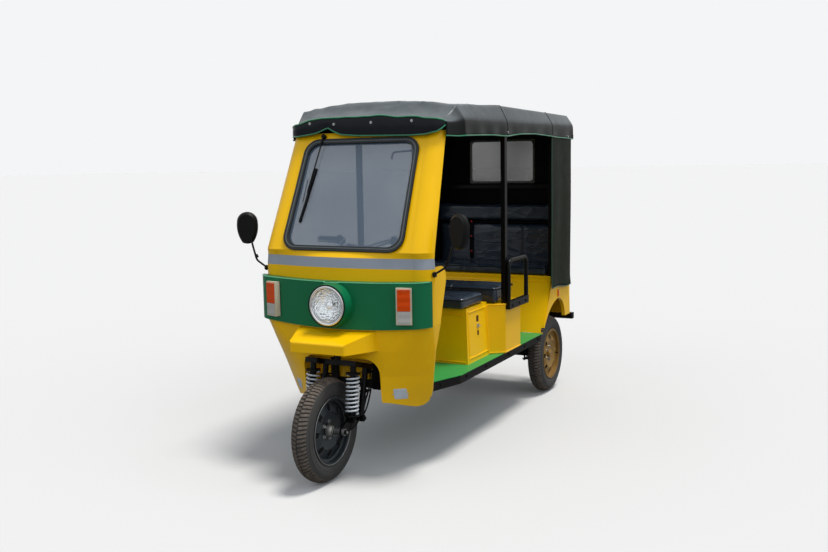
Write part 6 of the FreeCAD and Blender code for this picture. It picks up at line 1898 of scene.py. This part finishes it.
@dataclass
class Seats(Assembly):
    """All padded parts with their welts, and the reflector strap."""

    cushions: tuple[Cushion, ...] = (
        Cushion("driver_pad", (-398, 744, 736.5), (398, 1040, 798), "driver_cushion",
                channels=(-133.0, 133.0)),
        Cushion("bench_pad", (-440, 1096, 722.5), (440, 1368, 815), "bench_cushion",
                channels=(-147.0, 147.0)),
        Cushion("rear_pad", (-442, 1948, 783.5), (442, 2215, 842), "rear_cushion", channels=(-147.0, 147.0)),
        Cushion("back_pad", (-440, 2220, 787), (440, 2267, 1104), "rear_backrest", rests=Rests.UPRIGHT,
                channels=(-188.0, 188.0), crease=3.6),
        Cushion("back_roll", (-440, 2196, 1108), (440, 2267, 1236), "", rests=Rests.UPRIGHT, crease=3.2))
    fill: float = 0.75
    strap_x: float = -188.0
    strap_t: float = 2.0
    strap_line: tuple[Pair, ...] = (
        (2214.0, 1112.0), (2209.0, 1080.0), (2208.0, 1000.0), (2209.0, 900.0), (2212.0, 850.0))
    dots: tuple[float, ...] = (1107.0, 1007.0, 903.0)

    def build(self) -> None:
        """Builds the pads and the strap."""
        for pad in self.cushions:
            skin = pad.swell(pad.start())
            pad.finish_skin(skin)
            piece = self.keep(pad.name, skin, SEAT, (pad.node,) if pad.node else ())
            if pad.name != "back_roll":
                self.keep(f"{pad.name}_welt", pad.welt(), PLASTIC)
        strap = [put(self.strap_x, y, z) for y, z in self.strap_line]
        rows = [[p + LEFT * dx for dx in (-0.012, 0.0, 0.012)] for p in curved(strap, 6)]
        band = self.keep("reflector_strap", outward(woven(rows)), LINING)
        thicken(band, self.strap_t)
        spots = [(put(self.strap_x, 2207.5, z), -BACK) for z in self.dots]
        self.fasten("strap_reflectors", Head.DOME, 8.0, 4.0, RED, spots)


@dataclass
class SeatBoxes(Assembly):
    """Hatches, latches, seams and rivets of the boxes under the seats."""

    low_half: float = 400.0
    top_half: float = 385.0
    floor: float = 440.0
    top: float = 736.0

    def flank(self, y: float, z: float, out: float = 0.0, side: int = 1) -> Vector:
        """Gives a point on the driver's box flank, which leans in."""
        share = (z - self.floor) / (self.top - self.floor)
        x = self.low_half + (self.top_half - self.low_half) * share
        return put(side * (x + out), y, z)

    def patch(self, side: int, low: Point, high: Point) -> Mesh:
        """Makes a plate on the flank between two corners, each as y, z and out of the face."""
        a, b = self.flank(*low, side), self.flank(*high, side)
        return block(Vector((min(a.x, b.x), a.y, a.z)), Vector((max(a.x, b.x), b.y, b.z)), 0.0012)

    def build(self) -> None:
        """Builds the parts on the boxes."""
        ring = ((824.0, 712.0), (1040.0, 712.0), (1052.0, 700.0), (1056.0, 480.0), (1046.0, 468.0),
                (822.0, 468.0), (812.0, 480.0), (812.0, 700.0), (824.0, 712.0))
        frames, hasps, staples, spots = [], [], [], []
        for side in (-1, 1):
            hatch = curved([self.flank(y, z, 0.4, side) for y, z in ring], 4)[:-1]
            edge = [self.flank(1074.0, z, 1.0, side) for z in range(446, 734, 24)]
            frames += [tube(hatch, 0.004, 7, True), tube(edge, 0.005, 7)]
            hasps += [self.patch(side, (925.0, 648.0, -1.0), (953.0, 682.0, 3.0)),
                      self.patch(side, (931.0, 574.0, -1.0), (945.0, 600.0, 4.0))]
            middle = self.flank(940.0, 626.0, 2.0, side)
            arch = [middle + Vector((side * out, along, up)) for out, along, up in
                    ((0.001, -0.010, -0.004), (0.012, -0.006, 0.0), (0.012, 0.006, 0.0),
                     (0.001, 0.010, -0.004))]
            plate = block(middle - Vector((0.004, 0.013, 0.011)), middle + Vector((0.003, 0.013, 0.011)),
                          0.0015)
            staples += [tube(curved(arch, 5), 0.0026, 8), plate]
            spots += [(self.flank(y, z, 0.0, side), LEFT * side) for y in (802.0, 1066.0)
                      for z in (470.0, 590.0, 706.0)]
            spots += [(put(side * 471.0, y, z), LEFT * side) for y in (1164.0, 1372.0)
                      for z in (462.0, 580.0)]
        for half, y, z in ((370.0, 795.5, 700.0), (386.0, 782.5, 452.0)):
            frames.append(tube([put(x, y, z) for x in (-half, 0.0, half)], 0.004, 7))
        self.keep("hatch_frames", joined(frames), YELLOW)
        self.keep("hatch_hasps", joined(hasps), RUST)
        self.keep("hatch_staples", joined(staples), STEEL)
        self.fasten("box_rivets", Head.DOME, 4.2, 2.0, YELLOW, spots)
        outline = ((-471.0, 1385.0), (-471.0, 1150.0), (-385.0, 1081.0), (385.0, 1081.0), (471.0, 1150.0),
                   (471.0, 1385.0))
        lips = [tube([put(x * 1.002, y - 0.8, z) for x, y in outline], 0.0034, 6) for z in (446.0, 716.0)]
        self.keep("bench_box_lips", joined(lips), YELLOW)


@dataclass
class RearBody(Assembly):
    """Reflectors, lamps, creases and fasteners of the rear body."""

    tail_x: float = 380.0
    tail_z: float = 640.0
    seal_half: Pair = (42.5, 60.5)
    seal_round: float = 8.5
    behind: float = 2700.0

    def build(self, nodes: dict[str, Thing]) -> None:
        """Builds the parts on the tail."""
        sides = ((-478.0, -470.5), (470.5, 478.0))
        reflectors = boxes([((low, 2075.0, 637.0), (high, 2091.0, 683.0), 2.5) for low, high in sides])
        self.keep("side_reflectors", reflectors, ORANGE)
        lamps = Surface(nodes["tail_lamps"])
        rims, spots = [], []
        wide, tall = self.seal_half
        for x in (-self.tail_x, self.tail_x):
            line = rounded((x - wide, self.tail_z - tall), (x + wide, self.tail_z + tall), self.seal_round, 5)
            rims.append(tube([put(u, 2336.0, v) for u, v in line], 0.0035, 6, True))
            spots += [lamps.hit(put(x, self.behind, self.tail_z + dz), -BACK) for dz in (-50.0, 50.0)]
        self.keep("tail_lamp_seals", joined(rims), RUBBER)
        self.fasten("tail_lamp_screws", Head.DOME, 3.4, 2.0, STEEL, spots)
        tub = Surface(nodes["rear_tub"])
        beads = []
        for low, start, aim, xs in (((528.0, 745.0), self.behind, -BACK, range(-440, 441, 40)),
                                    ((772.0, 742.0), 1500.0, BACK, range(-452, 453, 113))):
            beads += [tube([tub.hit(put(x, start, z), aim)[0] for x in xs], 0.0036, 6) for z in low]
        self.keep("tub_beads", joined(beads), YELLOW)
        spots = [tub.hit(put(x, self.behind, z), -BACK) for x in (-430.0, -215.0, 0.0, 215.0, 430.0)
                 for z in (512.0, 762.0)]
        self.fasten("tub_rivets", Head.DOME, 4.2, 2.0, YELLOW, spots)
        plate = laid_on(tub, put(0.0, self.behind, 640.0), -BACK, UP, 100.0, 50.0, 2.0, 8.0, 8)
        self.keep("blank_rear_plate", plate, PLATE)
        bumper = [(put(x, 2437.0, 461.0), BACK) for x in (-300.0, -180.0, 180.0, 300.0)]
        self.fasten("bumper_bolts", Head.HEX, 7.0, 6.0, STEEL, bumper)


@dataclass
class Running(Assembly):
    """Clamps, bolts and plates of the springs and the chassis."""

    axle_y: float = WHEELBASE
    spring_w: float = 44.0
    bolts_y: tuple[float, ...] = (420.0, 640.0, 900.0, 1240.0, 1500.0, 1740.0)

    def build(self, nodes: dict[str, Thing]) -> None:
        """Builds what holds the axle to its springs."""
        x_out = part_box("leaf_springs")[1][0] * 1000.0
        x_in = x_out - self.spring_w
        clamp = ((x_in - 6.0, 210.0), (x_in - 6.0, 300.0), (x_in + 8.0, 316.0), (x_out - 8.0, 316.0),
                 (x_out + 6.0, 300.0), (x_out + 6.0, 210.0))
        bolts, plates, spots = [], [], []
        for side in (-1, 1):
            for y in (self.axle_y - 40.0, self.axle_y + 40.0):
                bolts.append(tube([put(side * x, y, z) for x, z in clamp], 0.005, 8))
                spots += [(put(side * x, y, 206.0), -UP) for x in (x_in - 6.0, x_out + 6.0)]
            x0, x1 = sorted((side * (x_in - 16.0), side * (x_out + 16.0)))
            plates.append(((x0, self.axle_y - 54.0, 206.0), (x1, self.axle_y + 54.0, 213.0), 2.0))
        self.keep("axle_clamps", joined(bolts + [boxes(plates)]), IRON)
        self.fasten("clamp_nuts", Head.HEX, 8.0, 8.0, STEEL, spots)
        frame = Surface(nodes["chassis_frame"])
        heads = [frame.hit(put(side * 700.0, y, 415.0), LEFT * -side) for side in (-1, 1)
                 for y in self.bolts_y]
        self.fasten("frame_bolts", Head.HEX, 6.5, 5.0, CHASSIS, heads)


@dataclass
class Dash(Assembly):
    """Gauge face, key switch and knobs of the dashboard."""

    gauge_x: float = -150.0
    gauge_r: float = 42.0

    def build(self, nodes: dict[str, Thing]) -> None:
        """Builds the gauge and the switches."""
        board = Surface(nodes["dashboard"])
        spot, normal = board.hit(put(self.gauge_x, 900.0, 1040.0), -BACK)
        face = turned([(0.2, self.gauge_r - 7.0), (1.2, self.gauge_r - 7.0), (1.4, 0.1)], spot, normal, 48)
        rim = turned([(0.0, self.gauge_r - 7.0), (4.0, self.gauge_r - 6.0), (5.0, self.gauge_r - 4.0),
                      (4.0, self.gauge_r - 2.0), (0.0, self.gauge_r - 1.0)], spot, normal, 48)
        self.keep("gauge_face", face, DIAL)
        self.keep("gauge_rim", rim, CHROME)
        ticks = []
        side = normal.cross(UP).normalized()
        over = side.cross(normal).normalized()
        middle = spot + normal * 0.0016
        for k in range(13):
            a = math.radians(225.0 - 22.5 * k)
            reach = 0.0045 if k % 2 == 0 else 0.0025
            out = side * math.cos(a) + over * math.sin(a)
            r = (self.gauge_r - 10.0) / 1000.0
            ticks.append(tube([middle + out * (r - reach), middle + out * r], 0.0005, 4))
        a = math.radians(215.0)
        needle = side * math.cos(a) + over * math.sin(a)
        ticks.append(tube([middle - needle * 0.006, middle + needle * 0.024], 0.0008, 5))
        self.keep("gauge_marks", joined(ticks), BLACK)
        knobs = []
        for x in (-40.0, 40.0, 110.0):
            top, _ = board.hit(put(x, 300.0, 1400.0), -UP)
            knobs.append(turned([(0, 11), (3, 11), (4, 8), (9, 8), (10, 6.5), (10.4, 0.2)], top, UP, 24))
        self.keep("dash_knobs", joined(knobs), BLACK)
        top, _ = board.hit(put(190.0, 290.0, 1400.0), -UP)
        lock = turned([(0, 13), (3, 13), (4, 11), (6, 10), (6.5, 0.2)], top, UP, 28)
        self.keep("key_switch", lock, CHROME)


@dataclass
class Armrests(Assembly):
    """Bolts of the loops beside the bench."""

    def build(self, nodes: dict[str, Thing]) -> None:
        """Builds the bolts through the flat bars."""
        loops = Surface(nodes["armrest_loops"])
        spots = [loops.hit(put(side * 800.0, y, 706.0), LEFT * -side) for side in (-1, 1)
                 for y in (1200.0, 1305.0, 1410.0)]
        self.fasten("armrest_bolts", Head.HEX, 6.0, 5.0, BLACK, spots)


@dataclass
class Studio:
    """Pale floor, soft lamps and the camera."""

    lens: float = 40.08
    azimuth: float = 26.9
    tilt: float = 6.8
    roll: float = -0.9
    place: Point = (2.3193, -4.7095, 1.4902)
    floor_colour: str = "#D7D9DB"
    sky_colour: str = "#F4F5F6"
    ambient: float = 0.42

    def floor(self) -> None:
        """Lays the floor far out to the horizon."""
        far = 400.0
        mesh = built([(-far, -far, 0), (far, -far, 0), (far, far, 0), (-far, far, 0)], [(0, 1, 2, 3)])
        mesh.materials.append(Backdrop("studio_floor", "", self.floor_colour, 0.9, specular=0.0).material())
        piece = bpy.data.objects.new("studio_floor", mesh)
        bpy.context.scene.collection.objects.link(piece)

    def sky(self) -> None:
        """Sets an even world, near white where the camera, gloss or glass sees it."""
        world = bpy.data.worlds.new("studio")
        bpy.context.scene.world = world
        world.use_nodes = True
        tree = world.node_tree
        tree.nodes.clear()
        path = add(tree, "ShaderNodeLightPath")
        clear = add(tree, "ShaderNodeMath", {"operation": "MAXIMUM"},
                    {0: path.outputs["Is Camera Ray"], 1: path.outputs["Is Transmission Ray"]})
        any_seen = add(tree, "ShaderNodeMath", {"operation": "MAXIMUM"},
                       {0: clear, 1: path.outputs["Is Glossy Ray"]})
        aim = add(tree, "ShaderNodeTexCoord").outputs["Generated"]
        rise = add(tree, "ShaderNodeSeparateXYZ", links={"Vector": aim}).outputs["Z"]
        dome = add(tree, "ShaderNodeMapRange",
                   {"From Min": 0.0, "From Max": 0.55, "To Min": 0.6, "To Max": 1.0},
                   {"Value": rise})
        power = add(tree, "ShaderNodeMath", {"operation": "MAXIMUM"}, {0: clear, 1: dome})
        lit = add(tree, "ShaderNodeBackground", {"Color": linear("#EEF2F6"), "Strength": self.ambient})
        seen = add(tree, "ShaderNodeBackground", {"Color": linear(self.sky_colour)}, {"Strength": power})
        mix = add(tree, "ShaderNodeMixShader", links={0: any_seen, 1: lit, 2: seen})
        add(tree, "ShaderNodeOutputWorld", links={0: mix})

    def lamp(self, name: str, source: Point, spread_deg: float, strength: float, colour: str,
             shine: bool) -> None:
        """Lights the scene evenly from a direction, as a far soft box this many degrees wide.

        Args:
            name: Name of the lamp.
            source: Direction that the light comes from.
            spread_deg: Width of the soft box as seen from the vehicle.
            strength: Light that falls on a face turned to it.
            colour: Colour of the light.
            shine: Whether glossy faces mirror it.
        """
        data = bpy.data.lights.new(name, "SUN")
        data.angle = math.radians(spread_deg)
        data.energy = strength
        data.color = linear(colour)[:3]
        lamp = bpy.data.objects.new(name, data)
        lamp.rotation_euler = (-Vector(source)).to_track_quat("-Z", "Y").to_euler()
        lamp.visible_glossy = shine
        bpy.context.scene.collection.objects.link(lamp)

    def camera(self) -> None:
        """Sets the camera at the viewing angle, with level lens and no blur."""
        az, tilt, roll = (math.radians(v) for v in (self.azimuth, self.tilt, self.roll))
        ahead = Vector((-math.sin(az) * math.cos(tilt), math.cos(az) * math.cos(tilt), -math.sin(tilt)))
        right = Vector((math.cos(az), math.sin(az), 0.0))
        up = right.cross(ahead)
        side = right * math.cos(roll) + up * math.sin(roll)
        over = up * math.cos(roll) - right * math.sin(roll)
        data = bpy.data.cameras.new("camera")
        data.lens = self.lens
        data.sensor_width = 36.0
        data.clip_end = 1500.0
        camera = bpy.data.objects.new("camera", data)
        turn = Matrix((side, over, -ahead)).transposed().to_4x4()
        camera.matrix_world = Matrix.Translation(Vector(self.place)) @ turn
        bpy.context.scene.collection.objects.link(camera)
        bpy.context.scene.camera = camera

    def build(self) -> None:
        """Builds the stage."""
        self.floor()
        self.sky()
        self.camera()
        self.lamp("overhead", (0.25, 0.08, 1.0), 16.0, 2.5, "#FFFAF2", True)
        self.lamp("front_fill", (-0.25, -1.0, 0.6), 70.0, 0.5, "#F6F9FF", False)
        self.lamp("side_fill", (1.0, -0.25, 0.5), 70.0, 0.8, "#F8FAFF", False)
        bpy.context.scene.view_settings.view_transform = "Standard"


def main() -> None:
    """Builds the stage, dresses the frame, and adds every piece in order."""
    logging.basicConfig(level=logging.INFO, format="%(message)s")
    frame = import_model()
    nodes = frame["nodes"]
    Studio().build()
    NodeFinishes().dress(nodes)
    wheels = (
        Wheel("front_tyre", "front_rim", 0.0, 0.0, 42.0, (1.0, -1.0), "front_wheel", cone=True),
        Wheel("rear_left_tyre", "rear_left_rim", REAR_WHEEL_X, WHEELBASE, 44.0, (1.0,), "rear_left_wheel"),
        Wheel("rear_right_tyre", "rear_right_rim", -REAR_WHEEL_X, WHEELBASE, 44.0, (-1.0,),
              "rear_right_wheel"))
    for wheel in wheels:
        wheel.build(nodes)
    for plain in (Fork(), Handlebar(), Headlamp(), Indicators(), Windscreen(), Canopy(), Curtains(), Seats(),
                  SeatBoxes()):
        log.info("building %s", type(plain).__name__)
        plain.build()
    for seated in (Mirrors(), Nose(), RearBody(), Running(), Dash(), Armrests()):
        log.info("building %s", type(seated).__name__)
        seated.build(nodes)


if __name__ == "__main__":
    main()
